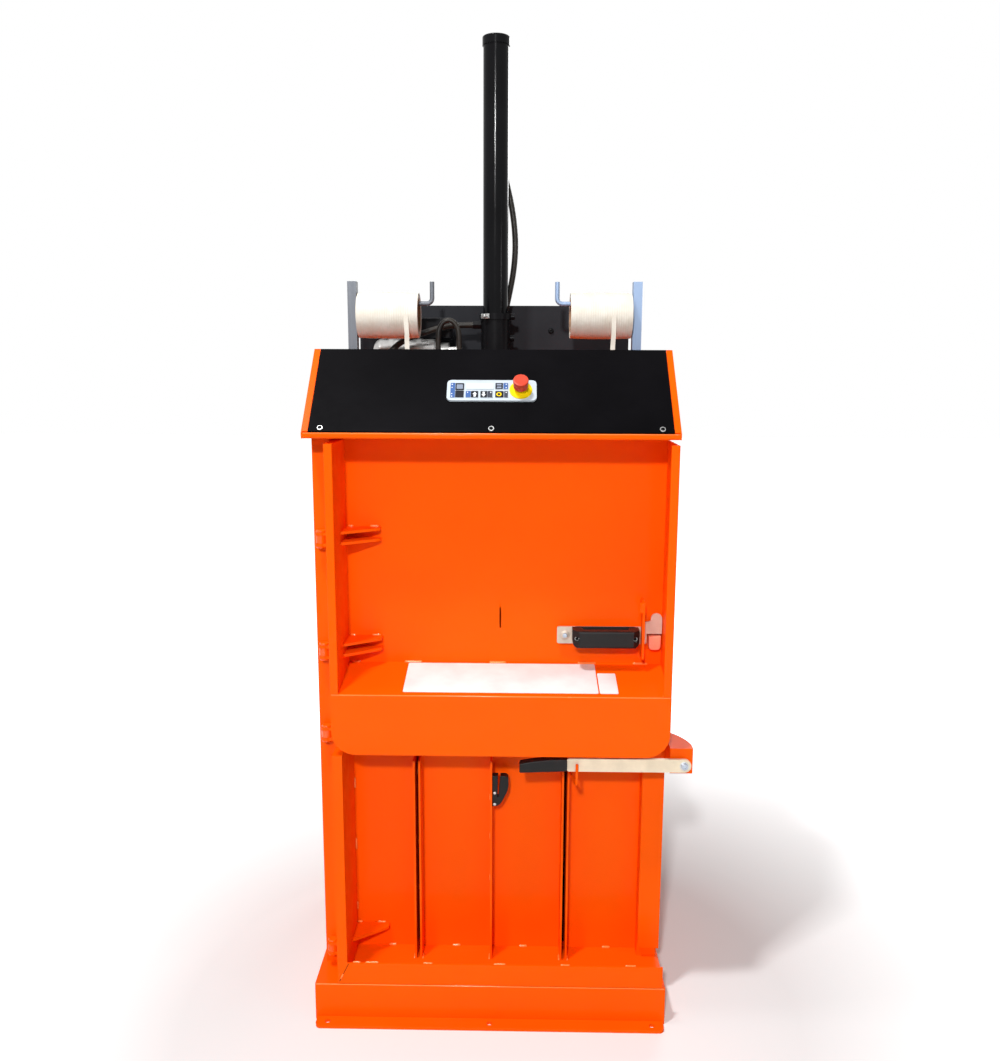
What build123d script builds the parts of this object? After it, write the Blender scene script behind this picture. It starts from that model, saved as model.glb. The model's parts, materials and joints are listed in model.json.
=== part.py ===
"""Vertical recycling baler: pressing chamber, two side-hung doors, hydraulic press and strap rolls.

Millimetres, +Z up, front towards -Y. The origin is on the floor, below the middle of the
door frame's front plane.
"""
from build123d import *

import math
import os

os.makedirs("parts", exist_ok=True)

# Base
base_proud = 11
base_height = 100
base_back = 690
toe_depth = 36
toe_thickness = 8
toe_corner = 14
toe_side_inset = 4
toe_hole_radius = 7
toe_hole_side_inset = 34
toe_hole_inset = 18

# Chamber
wall_outer_half = 437
wall_thickness = 45
wall_top = 1600
back_wall_thickness = 45
chamber_back = 600
floor_thickness = 6
groove_width = 30
groove_depth = 3
deck_thickness = 10
deck_front = 22
header_thickness = 6
header_bottom = 1490
strap_slot_width = 9
strap_slot_offset = 192

# Doors
door_front = -97
panel_front = 68
panel_thickness = 4
door_right_proud = 1
flange_width = 20
door_gap = 3
plate_thickness = 4
hinge_inset = 22
hinge_y = -20
upper_door_top = 1484
upper_door_bottom = 724
hinge_below_top = 238
hinge_above_shelf = 54

# Shelf and apron of the upper door
apron_drop = 2
apron_height = 154
apron_corner_share = 0.39
shelf_rise = 32
fold_radius = 3
slit_width = 4
slit_height = 54
slit_x = 21
slit_above_shelf = 120

# Hinges
pin_radius = 8
pin_clearance = 0.06
barrel_radius = 13
barrel_height = 19
lug_width = 20
fork_thickness = 7
fork_gap = 0.5
eye_radius = 14
arm_width = 24
pin_head_radius = 12
pin_head_height = 5
pin_head_round = 3
strap_length = 88
strap_reach = 30
strap_root_reach = 84
strap_chamfer = 10

# Lower door
lower_top = 718
ear_hinge_rise = 30
sill_hinge_rise = 50
lip_height = 57
sill_gap = 2
lower_flange_width = 25
ear_height = 60
ear_front = -45
ear_back = 40
rib_thickness = 5
rib_depth = 62
rib_below_top = 55
slot_above_sill = 16
slot_below_top = 68
stile_lap = 2
stile_proud = 9
stile_front = 20
stile_foot_gap = 30
stile_corner = 12
foot_proud = 3
foot_front = 34

# Lock lever
lever_pivot_inset = 22
lever_y = -66
lever_below_top = 28
lever_height = 34
lever_thickness = 8
lever_length = 290
lever_tang_length = 40
lever_tang_height = 18
lever_corner = 5
lever_grip_length = 118
lever_grip_height = 34
lever_grip_end_height = 24
lever_grip_thickness = 26
lever_grip_round = 4
lever_grip_edge_round = 3
housing_width = 56
housing_front = -58
housing_back = 60
housing_nose = 24
housing_below = 24
housing_above = 41
housing_wall = 5
bolt_radius = 7
bolt_head_radius = 11
bolt_head_height = 6
washer_radius = 13
washer_thickness = 1.6
cradle_radius = 3.5
cradle_from_bar_end = 24
cradle_front = -80
cradle_below_lever = 50
cradle_rise = 56
cradle_bend = 10

# Strap hook on the middle rib
hook_height = 84
hook_width = 42
hook_depth = 20
hook_below_top = 180
hook_front = 12
hook_leg = 15
hook_slot = 6
hook_slot_depth = 58
hook_tip_round = 9
hook_edge_round = 2

# Upper latch
latch_above_shelf = 80
latch_tail = 20
latch_pivot_inset = 252
latch_bar_inset = 44
latch_height = 44
latch_thickness = 6
latch_standoff = 10
latch_shoulder = 36
nose_width = 28
nose_inset = 6
nose_rise = 58
nose_gap = 5
grip_from_pivot = 18
grip_length = 168
grip_height = 44
grip_stand = 46
grip_bar = 20
grip_foot = 22
grip_slope = 16
grip_inner_slope = 6
grip_low_round = 14
grip_front_round = 6
grip_recess = 6.5
grip_screw_inset = 11
guide_inset = 60
guide_thickness = 6
guide_reach = 52
guide_below = 52
guide_above = 94
guide_slot_below = 30
guide_slot_above = 78
guide_slot_play = 3
guide_lip_width = 10
guide_lip_height = 26
guide_lip_thickness = 6
keeper_inset = 39
keeper_width = 30
keeper_height = 36
keeper_front = 44
keeper_clearance = 4

# Hood
sheet = 3
lip_bottom = 1496
lip_top = 1510
lip_depth = 20
lip_round = 5
hood_top = 1703
hood_top_front = 85
hood_back = 140
cheek_band = 15
cheek_ledge = 30
ledge_start = 14
cover_gap = 1
cover_start = 4

# Controls
keypad_width = 213
keypad_height = 64
keypad_thickness = 5
keypad_corner = 11
keypad_along = 128
key_thickness = 1.2
key_corner = 3
# Each key: middle across, middle up the slope from the plate's middle, width, height
keys = (
    (-81.5, -1.5, 33, 47),
    (-28.5, 12, 67, 20),
    (-46.5, -14, 30, 21),
    (-12, -14, 30, 21),
    (23.5, 12, 31, 20),
    (23.5, -14, 31, 21),
)
estop_x = 69
estop_disc_radius = 27
estop_disc_thickness = 2
estop_collar_radius = 15
estop_collar_height = 7
estop_head_radius = 18.5
estop_head_height = 23
estop_head_round = 6
estop_stem_radius = 9
estop_stem_tail = 2
estop_travel = 4

# Press
column_y = 350
tube_radius = 33.5
tube_bore = 27
column_top = 2502
cap_radius = 36
cap_height = 22
foot_size = 150
foot_thickness = 20
foot_corner = 10
foot_bolt_inset = 20
foot_bolt_height = 8
sleeve_radius = 39
sleeve_height = 156
sleeve_gap = 0.3
fit_gap = 0.02
clamp_height = 16
clamp_radius = 43
knob_radius = 8
knob_length = 12
knob_drop = 49
rod_radius = 18
rod_clearance = 0.08
piston_height = 40
piston_gap = 40
platen_side_gap = 12
platen_front = 95
platen_back = 590
platen_bottom = 1490
platen_plate = 14
platen_rib_height = 60
platen_rib_thickness = 12
platen_boss = 46
platen_groove_width = 20
platen_groove_depth = 6

# Strap rolls
roll_radius = 59
roll_round = 4
core_radius = 41
core_wall = 4
roll_length = 158
roll_inset = 161
roll_y = 250
roll_above_deck = 182
bracket_width = 23
bracket_depth = 30
bracket_gap = 4
bracket_above_roll = 86
bar_radius = 6
bar_overhang = 34
hub_radius = 19
hub_height = 3
bar_bend = 14
tail_width = 12
tail_thickness = 1.2
tail_offset = 0.4
tail_from_roll = (50, 30)

# Drive
motor_radius = 60
motor_dome = 24
motor_left = -334
motor_length = 176
motor_y = 375
motor_axis_height = 66
motor_bell_radius = 50
motor_bell_length = 30
motor_band_width = 14
motor_band_rise = 2
motor_foot_width = 90
motor_foot_length = 30
pump_length = 34
pump_width = 84
pump_height = 104
terminal_left = -236
terminal_length = 116
terminal_front = 358
terminal_depth = 62
terminal_height = 62
terminal_sink = 8
terminal_round = 8
tank_length = 330
tank_depth = 130
tank_height = 150
tank_x = 190
tank_y = 540
tank_round = 12
filler_radius = 24
rear_cover_y = 440
rear_cover_left_inset = 53
rear_cover_right_inset = 65
rear_cover_height = 219
rear_cover_fold = 40

# Hoses
hose_radius = 8
loop_radius = 7
union_radius = 12
union_height = 22
port_size = 30
port_depth = 20
port_height = 60
side_hose_drop = 14
side_hose_x = -302
side_hose_y = 299
loop_y = 298
loop_left = -152
loop_right = -96
low_port_x = 15

# Derived places
deck_top = wall_top + deck_thickness
panel_back = panel_front + panel_thickness
right_wall_front = panel_back + door_gap
wall_inner_half = wall_outer_half - wall_thickness
base_half_width = wall_outer_half + base_proud
toe_hole_spacing = base_half_width - toe_hole_side_inset
hood_half_width = wall_outer_half + sheet
platen_half_width = wall_inner_half - platen_side_gap
hinge_x = hinge_inset - wall_outer_half
door_left = door_gap - wall_inner_half
door_right = wall_outer_half + door_right_proud
stile_left = wall_inner_half - stile_lap
stile_right = wall_outer_half + stile_proud
foot_right = wall_outer_half + foot_proud
housing_right = stile_right + housing_width
lever_pivot_x = housing_right - lever_pivot_inset
bar_left = lever_pivot_x - lever_length
cradle_x = bar_left + cradle_from_bar_end
latch_pivot_x = door_right - latch_pivot_inset
latch_left = latch_pivot_x - latch_tail
latch_bar_right = door_right - latch_bar_inset
nose_right = door_right - nose_inset
nose_left = nose_right - nose_width
grip_left = latch_pivot_x + grip_from_pivot
guide_x = door_right - guide_inset
keeper_left = door_right - keeper_inset
roll_x = wall_outer_half - roll_inset
tail_places = (tail_from_roll[0] - roll_x, roll_x + tail_from_roll[1])
rear_cover_left = rear_cover_left_inset - wall_outer_half
rear_cover_right = wall_outer_half - rear_cover_right_inset
sill_bottom = base_height + sill_gap
sill_top = sill_bottom + plate_thickness
slope_rise = hood_top - lip_top
slope_run = hood_top_front - door_front
slope_length = math.hypot(slope_rise, slope_run)
slope_plane = Plane(origin=(0, door_front, lip_top), x_dir=(1, 0, 0), z_dir=(0, -slope_rise, slope_run))
fork_offset = barrel_height / 2 + fork_gap + fork_thickness / 2
apron_bottom = upper_door_bottom - apron_drop
apron_corner = apron_height * apron_corner_share
shelf_front_height = apron_bottom + apron_height
shelf_back_height = shelf_front_height + shelf_rise
upper_hinge_heights = (upper_door_top - hinge_below_top, shelf_back_height + hinge_above_shelf)
lower_hinge_heights = (lower_top + ear_hinge_rise, sill_top + sill_hinge_rise)
slit_z = shelf_back_height + slit_above_shelf
latch_z = shelf_back_height + latch_above_shelf
nose_bottom = latch_z + nose_gap
nose_top = latch_z + nose_rise
guide_bottom = latch_z - guide_below
guide_top = latch_z + guide_above
guide_slot_bottom = latch_z - guide_slot_below
guide_slot_top = latch_z + guide_slot_above
keeper_top = latch_z
keeper_bottom = keeper_top - keeper_height
side_plate = door_right - plate_thickness
rib_top = lower_top - rib_below_top
slot_bottom = sill_top + slot_above_sill
slot_top = lower_top - slot_below_top
lever_z = lower_top - lever_below_top
housing_bottom = lever_z - housing_below
housing_top = lever_z + housing_above
cradle_z = lever_z - cradle_below_lever
cradle_top = cradle_z + cradle_rise
hook_bottom = lower_top - hook_below_top
foot_top = deck_top + foot_thickness
boss_top = platen_bottom + platen_plate + platen_rib_height
shelf_drop_share = shelf_rise / (panel_front - door_front)
flange_low = shelf_front_height + shelf_drop_share * plate_thickness
sleeve_top = foot_top + sleeve_height
knob_low = sleeve_top - knob_drop
piston_top = column_top - cap_height - piston_gap
motor_z = deck_top + motor_axis_height
roll_z = deck_top + roll_above_deck
bracket_top = roll_z + bracket_above_roll
rear_cover_top = deck_top + rear_cover_height
bar_z = roll_z + core_radius - core_wall - bar_radius - 0.5


def save(builder, name):
    """Label the finished piece and write it."""
    builder.part.label = name
    export_step(builder.part, f"parts/{name}.step")


def hinge_forks(heights, wall_x):
    """Add the two eyed arms of each hinge, from the pin to the door's side."""
    for height in heights:
        for side in (-1, 1):
            level = height + side * fork_offset - fork_thickness / 2
            with BuildSketch(Plane.XY.offset(level)) as arm:
                with Locations((hinge_x, hinge_y)):
                    Circle(eye_radius)
                with Locations(((hinge_x + wall_x) / 2, hinge_y)):
                    Rectangle(wall_x - hinge_x, arm_width)
                with Locations((hinge_x, hinge_y)):
                    Circle(pin_radius + pin_clearance, mode=Mode.SUBTRACT)
            extrude(arm.sketch, amount=fork_thickness)


def door_strap(level, start_x):
    """Add one hinge strap: a plate on edge that tapers from the flange along the door panel."""
    strap_front = panel_front - strap_reach
    strap_end = start_x + strap_length
    with BuildSketch(Plane.XY.offset(level - fork_thickness / 2)) as strap:
        with BuildLine():
            Polyline(
                (start_x, panel_front - strap_root_reach),
                (strap_end - strap_chamfer, strap_front),
                (strap_end, strap_front + strap_chamfer),
                (strap_end, panel_front),
                (start_x, panel_front),
                close=True,
            )
        make_face()
    extrude(strap.sketch, amount=fork_thickness)


def hose(points, radius):
    """Sweep a hose along straight runs joined by tangent arcs."""
    vectors = [Vector(p) for p in points]
    radii = []
    for before, corner, after in zip(vectors, vectors[1:], vectors[2:]):
        turn = math.radians((corner - before).get_angle(after - corner))
        shorter = min((corner - before).length, (after - corner).length)
        radii.append(0.45 * shorter / math.tan(turn / 2))
    with BuildLine() as route:
        FilletPolyline(*points, radius=radii)
    with BuildSketch(Plane(origin=points[0], z_dir=route.line % 0)) as section:
        Circle(radius)
    sweep(section.sketch, path=route.line)


# Base plinth with its toe flange and floor bolt holes
with BuildPart() as base_plinth:
    with BuildSketch(Plane.XY):
        with Locations((0, (door_front + base_back) / 2)):
            Rectangle(2 * base_half_width, base_back - door_front)
    extrude(amount=base_height)
    front_top = base_plinth.edges().filter_by(Axis.X).group_by(Axis.Z)[-1].sort_by(Axis.Y)[0]
    fillet(front_top, fold_radius)
    with BuildSketch(Plane.XY):
        with Locations((0, door_front - toe_depth / 2)):
            toe = Rectangle(2 * (base_half_width - toe_side_inset), toe_depth)
        fillet(toe.vertices().group_by(Axis.Y)[0], toe_corner)
    extrude(amount=toe_thickness)
    with Locations(*[(x, door_front - toe_hole_inset, toe_thickness)
                     for x in (-toe_hole_spacing, 0, toe_hole_spacing)]):
        Hole(toe_hole_radius, depth=toe_thickness)
save(base_plinth, "base_plinth")

# Chamber floor with the two strap grooves
with BuildPart() as floor_plate:
    with BuildSketch(Plane.XY.offset(base_height)):
        with Locations((0, (right_wall_front + chamber_back) / 2)):
            Rectangle(2 * wall_inner_half, chamber_back - right_wall_front)
    extrude(amount=floor_thickness)
    with BuildSketch(Plane.XY.offset(base_height + floor_thickness - groove_depth)):
        with Locations(*[(x, (right_wall_front + chamber_back) / 2)
                         for x in (-strap_slot_offset, strap_slot_offset)]):
            Rectangle(groove_width, chamber_back - right_wall_front)
    extrude(amount=groove_depth, mode=Mode.SUBTRACT)
save(floor_plate, "floor_plate")

# Side walls: the left one also carries the hinges, the right one stops behind the doors
for name, middle_x, front in (
    ("side_wall_left", -wall_outer_half + wall_thickness / 2, 0),
    ("side_wall_right", wall_outer_half - wall_thickness / 2, right_wall_front),
):
    with BuildPart() as side_wall:
        with BuildSketch(Plane.XY.offset(base_height)):
            with Locations((middle_x, (front + chamber_back) / 2)):
                Rectangle(wall_thickness, chamber_back - front)
        extrude(amount=wall_top - base_height)
        fillet(side_wall.edges().filter_by(Axis.Z).group_by(Axis.Y)[0], fold_radius)
    save(side_wall, name)

# Back wall with grooves that lead the straps round the bale
with BuildPart() as back_wall:
    with BuildSketch(Plane.XY.offset(base_height)):
        with Locations((0, chamber_back + back_wall_thickness / 2)):
            Rectangle(2 * wall_outer_half, back_wall_thickness)
        with Locations(*[(x, chamber_back + groove_depth / 2)
                         for x in (-strap_slot_offset, strap_slot_offset)]):
            Rectangle(groove_width, groove_depth, mode=Mode.SUBTRACT)
    extrude(amount=wall_top - base_height)
    fillet(back_wall.edges().filter_by(Axis.Z).group_by(Axis.Y)[-1], fold_radius)
save(back_wall, "back_wall")

# Header plate above the upper door
with BuildPart() as front_header:
    with BuildSketch(Plane.XY.offset(header_bottom)):
        with Locations((0, right_wall_front + header_thickness / 2)):
            Rectangle(2 * wall_inner_half, header_thickness)
    extrude(amount=wall_top - header_bottom)
save(front_header, "front_header")

# Deck that closes the chamber and carries the press
with BuildPart() as top_deck:
    deck_back = chamber_back + back_wall_thickness
    with BuildSketch(Plane.XY.offset(wall_top)):
        with Locations((0, (deck_front + deck_back) / 2)):
            Rectangle(2 * wall_outer_half, deck_back - deck_front)
        with Locations((0, column_y)):
            Circle(rod_radius + 10, mode=Mode.SUBTRACT)
    extrude(amount=deck_thickness)
save(top_deck, "top_deck")

# Hood cheeks: side sheet, front band and the ledge under the sloped cover
for name, side in (("hood_cheek_left", -1), ("hood_cheek_right", 1)):
    with BuildPart() as hood_cheek:
        with BuildSketch(Plane.YZ.offset(side * (hood_half_width - sheet / 2))):
            with BuildLine():
                Polyline(
                    (door_front, lip_bottom),
                    (door_front, lip_top),
                    (hood_top_front, hood_top),
                    (hood_back, hood_top),
                    (hood_back, lip_bottom),
                    close=True,
                )
            make_face()
        extrude(amount=sheet / 2, both=True)
        for width, depth, start in ((cheek_band, sheet, cover_start), (cheek_ledge, 2 * sheet, ledge_start)):
            with BuildSketch(slope_plane.offset(-depth)):
                with Locations((side * (hood_half_width - width / 2), (slope_length - sheet + start) / 2)):
                    Rectangle(width, slope_length - sheet - start)
            extrude(amount=sheet)
        with BuildSketch(Plane.XY.offset(hood_top - sheet)):
            band_depth = hood_back - hood_top_front
            with Locations((side * (hood_half_width - cheek_band / 2), hood_back - band_depth / 2)):
                Rectangle(cheek_band, band_depth)
        extrude(amount=sheet)
    save(hood_cheek, name)

# Rounded front lip with the soffit over the upper door
with BuildPart() as hood_lip:
    lip_length = 2 * (hood_half_width - sheet)
    with BuildSketch(Plane.YZ):
        with BuildLine():
            Polyline(
                (door_front, lip_bottom),
                (door_front, lip_top),
                (door_front + lip_depth, lip_top),
                (door_front + lip_depth, lip_bottom + sheet),
                (-door_gap, lip_bottom + sheet),
                (-door_gap, lip_bottom),
                close=True,
            )
        make_face()
    extrude(amount=lip_length / 2, both=True)
    lip_edges = hood_lip.edges().filter_by(Axis.X).group_by(Axis.Y)[0]
    fillet(lip_edges, lip_round)
    with BuildSketch(Plane.XY.offset(lip_bottom)):
        left = -wall_inner_half
        right = hood_half_width - sheet
        with Locations(((left + right) / 2, (right_wall_front - door_gap) / 2)):
            Rectangle(right - left, right_wall_front + door_gap)
    extrude(amount=sheet)
save(hood_lip, "hood_lip")

# Sloped black cover that carries the controls
with BuildPart() as control_cover:
    cover_width = 2 * (hood_half_width - cheek_band - cover_gap)
    slope_up = Vector(0, slope_run, slope_rise).normalized()
    cover_low = Vector(0, door_front, lip_top) + slope_up * cover_start
    inner_low = cover_low - slope_plane.z_dir * sheet
    inner_bend = inner_low + slope_up * ((hood_top - sheet - inner_low.Z) / slope_up.Z)
    with BuildSketch(Plane.YZ):
        with BuildLine():
            Polyline(
                (cover_low.Y, cover_low.Z),
                (hood_top_front, hood_top),
                (hood_back, hood_top),
                (hood_back, hood_top - sheet),
                (inner_bend.Y, inner_bend.Z),
                (inner_low.Y, inner_low.Z),
                close=True,
            )
        make_face()
    extrude(amount=cover_width / 2, both=True)
    with BuildSketch(slope_plane.offset(-sheet)):
        with Locations((estop_x, keypad_along)):
            Circle(estop_stem_radius + 1)
    extrude(amount=sheet, mode=Mode.SUBTRACT)
save(control_cover, "control_cover")

# Keypad plate
with BuildPart() as keypad_plate:
    with BuildSketch(slope_plane):
        with Locations((0, keypad_along)):
            RectangleRounded(keypad_width, keypad_height, keypad_corner)
        with Locations((estop_x, keypad_along)):
            Circle(estop_stem_radius + 1, mode=Mode.SUBTRACT)
    extrude(amount=keypad_thickness)
save(keypad_plate, "keypad_plate")

# Membrane keys and display strip
with BuildPart() as keypad_keys:
    with BuildSketch(slope_plane.offset(keypad_thickness)):
        for key_x, key_y, key_width, key_height in keys:
            with Locations((key_x, keypad_along + key_y)):
                RectangleRounded(key_width, key_height, key_corner)
    extrude(amount=key_thickness)
save(keypad_keys, "keypad_keys")

# Emergency stop: disc with its collar, and the push head
disc_plane = slope_plane.offset(keypad_thickness)
with BuildPart() as estop_ring:
    with BuildSketch(disc_plane):
        with Locations((estop_x, keypad_along)):
            Circle(estop_disc_radius)
    extrude(amount=estop_disc_thickness)
    with BuildSketch(disc_plane.offset(estop_disc_thickness)):
        with Locations((estop_x, keypad_along)):
            Circle(estop_collar_radius)
    extrude(amount=estop_collar_height)
    with BuildSketch(disc_plane):
        with Locations((estop_x, keypad_along)):
            Circle(estop_stem_radius + pin_clearance)
    extrude(amount=estop_disc_thickness + estop_collar_height, mode=Mode.SUBTRACT)
save(estop_ring, "estop_ring")

stop_axis = Axis((0, 0, 0), slope_plane.z_dir)
with BuildPart() as estop_button:
    head_low = estop_disc_thickness + estop_collar_height + estop_travel + fork_gap
    with BuildSketch(disc_plane.offset(head_low)):
        with Locations((estop_x, keypad_along)):
            Circle(estop_head_radius)
    extrude(amount=estop_head_height)
    fillet(estop_button.faces().sort_by(stop_axis)[-1].edges(), estop_head_round)
    with BuildSketch(disc_plane.offset(-estop_stem_tail)):
        with Locations((estop_x, keypad_along)):
            Circle(estop_stem_radius)
    extrude(amount=estop_stem_tail + head_low + 1)
save(estop_button, "estop_button")

# Press foot: flange plate, gland bore and the sleeve that holds the tube
with BuildPart() as cylinder_foot:
    with BuildSketch(Plane.XY.offset(deck_top)):
        with Locations((0, column_y)):
            RectangleRounded(foot_size, foot_size, foot_corner)
    extrude(amount=foot_thickness)
    with BuildSketch(Plane.XY.offset(foot_top)):
        with Locations((0, column_y)):
            Circle(sleeve_radius)
            Circle(tube_radius + sleeve_gap, mode=Mode.SUBTRACT)
    extrude(amount=sleeve_top - foot_top)
    with BuildSketch(Plane.XY.offset(deck_top)):
        with Locations((0, column_y)):
            Circle(rod_radius + rod_clearance)
    extrude(amount=foot_thickness, mode=Mode.SUBTRACT)
save(cylinder_foot, "cylinder_foot")

# Bolts that hold the foot to the deck
with BuildPart() as foot_bolts:
    bolt_spacing = foot_size - 2 * foot_bolt_inset
    with BuildSketch(Plane.XY.offset(foot_top)):
        with Locations((0, column_y)):
            with GridLocations(bolt_spacing, bolt_spacing, 2, 2):
                RegularPolygon(bolt_head_radius, 6)
    extrude(amount=foot_bolt_height)
save(foot_bolts, "foot_bolts")

# Press cylinder tube with its welded end cap
with BuildPart() as cylinder_tube:
    with BuildSketch(Plane.XZ.offset(-column_y)):
        with BuildLine():
            Polyline(
                (tube_bore, foot_top),
                (tube_radius, foot_top),
                (tube_radius, column_top - cap_height),
                (cap_radius, column_top - cap_height),
                (cap_radius, column_top),
                (0, column_top),
                (0, column_top - cap_height),
                (tube_bore, column_top - cap_height),
                close=True,
            )
        make_face()
    revolve(axis=Axis((0, column_y, 0), (0, 0, 1)))
    fillet(cylinder_tube.edges().filter_by(GeomType.CIRCLE).sort_by(Axis.Z)[-1], fold_radius)
save(cylinder_tube, "cylinder_tube")

# Clamp ring with its two knobs
with BuildPart() as clamp_ring:
    with BuildSketch(Plane.XY.offset(sleeve_top)):
        with Locations((0, column_y)):
            Circle(clamp_radius)
            Circle(tube_radius + sleeve_gap, mode=Mode.SUBTRACT)
    extrude(amount=clamp_height)
    with BuildSketch(Plane.YZ.offset(clamp_radius - 2)):
        with Locations((column_y, sleeve_top + clamp_height / 2)):
            Circle(knob_radius)
    extrude(amount=knob_length)
    with BuildSketch(Plane.YZ.offset(sleeve_radius + sleeve_gap)):
        with Locations((column_y, knob_low)):
            Circle(knob_radius)
    extrude(amount=knob_length)
save(clamp_ring, "clamp_ring")

# Piston and rod
with BuildPart() as piston:
    with BuildSketch(Plane.XY.offset(piston_top - piston_height)):
        with Locations((0, column_y)):
            Circle(tube_bore - rod_clearance)
    extrude(amount=piston_height)
save(piston, "piston")

with BuildPart() as piston_rod:
    with BuildSketch(Plane.XY.offset(boss_top)):
        with Locations((0, column_y)):
            Circle(rod_radius)
    extrude(amount=piston_top - piston_height - boss_top)
save(piston_rod, "piston_rod")

# Press platen: plate with strap grooves, and the welded stiffeners on top
with BuildPart() as platen_plate_part:
    platen_y = (platen_front + platen_back) / 2
    platen_depth = platen_back - platen_front
    with BuildSketch(Plane.XY.offset(platen_bottom)):
        with Locations((0, platen_y)):
            Rectangle(2 * platen_half_width, platen_depth)
    extrude(amount=platen_plate)
    with BuildSketch(Plane.XY.offset(platen_bottom)):
        with Locations((-strap_slot_offset, platen_y), (strap_slot_offset, platen_y)):
            Rectangle(platen_groove_width, platen_depth)
    extrude(amount=platen_groove_depth, mode=Mode.SUBTRACT)
save(platen_plate_part, "platen_plate")

with BuildPart() as platen_ribs:
    with BuildSketch(Plane.XY.offset(platen_bottom + platen_plate)):
        for x in (-platen_half_width * 0.5, platen_half_width * 0.5):
            with Locations((x, platen_y)):
                Rectangle(platen_rib_thickness, platen_depth - 40)
        with Locations((0, column_y - 90), (0, column_y + 90)):
            Rectangle(2 * platen_half_width - 60, platen_rib_thickness)
        with Locations((0, column_y)):
            Rectangle(platen_rib_thickness, 180)
            Circle(platen_boss)
    extrude(amount=platen_rib_height)
save(platen_ribs, "platen_ribs")

# Strap roll brackets: an upright, and a round bar that ends in an upturned hook
with BuildPart() as roll_brackets:
    for side in (-1, 1):
        upright_x = side * (roll_x + roll_length / 2 + bracket_gap + bracket_width / 2)
        with BuildSketch(Plane.XY.offset(deck_top)):
            with Locations((upright_x, roll_y)):
                Rectangle(bracket_width, bracket_depth)
        extrude(amount=bracket_top - deck_top)
        with BuildSketch(Plane.YZ.offset(upright_x - side * bracket_width / 2)):
            with Locations((roll_y, bar_z)):
                Circle(hub_radius)
        extrude(amount=-side * hub_height)
        end_x = side * (roll_x - roll_length / 2 - bar_overhang)
        with BuildLine() as bar_line:
            FilletPolyline(
                (upright_x, roll_y, bar_z), (end_x, roll_y, bar_z), (end_x, roll_y, bracket_top), radius=bar_bend
            )
        with BuildSketch(Plane(origin=(upright_x, roll_y, bar_z), z_dir=(-side, 0, 0))):
            Circle(bar_radius)
        sweep(path=bar_line.line)
save(roll_brackets, "roll_brackets")

# Strap rolls and the cores they are wound on
for name, side in (("left", -1), ("right", 1)):
    roll_plane = Plane.YZ.offset(side * roll_x - roll_length / 2)
    with BuildPart() as strap_roll:
        with BuildSketch(roll_plane):
            with Locations((roll_y, roll_z)):
                Circle(roll_radius)
                Circle(core_radius, mode=Mode.SUBTRACT)
        extrude(amount=roll_length)
        rims = strap_roll.edges().filter_by(GeomType.CIRCLE).group_by(SortBy.RADIUS)[-1]
        fillet(rims, roll_round)
    save(strap_roll, f"strap_roll_{name}")
    with BuildPart() as roll_core:
        with BuildSketch(roll_plane):
            with Locations((roll_y, roll_z)):
                Circle(core_radius)
                Circle(core_radius - core_wall, mode=Mode.SUBTRACT)
        extrude(amount=roll_length)
    save(roll_core, f"roll_core_{name}")

# Strap tails that hang from the rolls to the deck
with BuildPart() as strap_tails:
    with BuildSketch(Plane.XY.offset(deck_top)):
        for x in tail_places:
            with Locations((x, roll_y - roll_radius - tail_offset - tail_thickness / 2)):
                Rectangle(tail_width, tail_thickness)
    extrude(amount=roll_z - deck_top)
save(strap_tails, "strap_tails")

# Drive motor: domed housing with two bands, the drive end and feet
motor_plane = Plane.YZ.offset(motor_left)
motor_right = motor_left + motor_length
with BuildPart() as motor:
    with BuildSketch(motor_plane):
        with Locations((motor_y, motor_z)):
            Circle(motor_radius)
    extrude(amount=motor_length)
    fillet(motor.faces().sort_by(Axis.X)[0].edges(), motor_dome)
    fillet(motor.faces().sort_by(Axis.X)[-1].edges(), motor_dome / 2)
    for share in (0.28, 0.72):
        with BuildSketch(motor_plane.offset(motor_length * share - motor_band_width / 2)):
            with Locations((motor_y, motor_z)):
                Circle(motor_radius + motor_band_rise)
        extrude(amount=motor_band_width)
    with BuildSketch(Plane.YZ.offset(motor_right)):
        with Locations((motor_y, motor_z)):
            Circle(motor_bell_radius)
    extrude(amount=motor_bell_length)
    with BuildSketch(Plane.XY.offset(deck_top)):
        for share in (0.28, 0.72):
            with Locations((motor_left + motor_length * share, motor_y)):
                Rectangle(motor_foot_length, motor_foot_width)
    extrude(amount=motor_axis_height - motor_radius / 2)
save(motor, "motor")

# Terminal box on top of the motor
with BuildPart() as terminal_box:
    with BuildSketch(Plane.XY.offset(motor_z + motor_radius + motor_band_rise)):
        with Locations((terminal_left + terminal_length / 2, terminal_front + terminal_depth / 2)):
            RectangleRounded(terminal_length, terminal_depth, terminal_round)
    extrude(amount=terminal_height - terminal_sink)
    fillet(terminal_box.faces().sort_by(Axis.Z)[-1].edges(), terminal_round / 2)
save(terminal_box, "terminal_box")

# Pump block at the motor's drive end
with BuildPart() as pump_block:
    pump_start = motor_right + motor_bell_length
    with BuildSketch(Plane.YZ.offset(pump_start)):
        with Locations((motor_y, deck_top + pump_height / 2)):
            RectangleRounded(pump_width, pump_height, fold_radius * 2)
    extrude(amount=pump_length)
save(pump_block, "pump_block")

# Oil tank with its filler cap, behind the rear cover
with BuildPart() as oil_tank:
    with BuildSketch(Plane.XY.offset(deck_top)):
        with Locations((tank_x, tank_y)):
            RectangleRounded(tank_length, tank_depth, tank_round)
    extrude(amount=tank_height)
    with BuildSketch(Plane.XY.offset(deck_top + tank_height)):
        with Locations((tank_x + tank_length / 3, tank_y)):
            Circle(filler_radius)
    extrude(amount=union_height)
save(oil_tank, "oil_tank")

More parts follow.
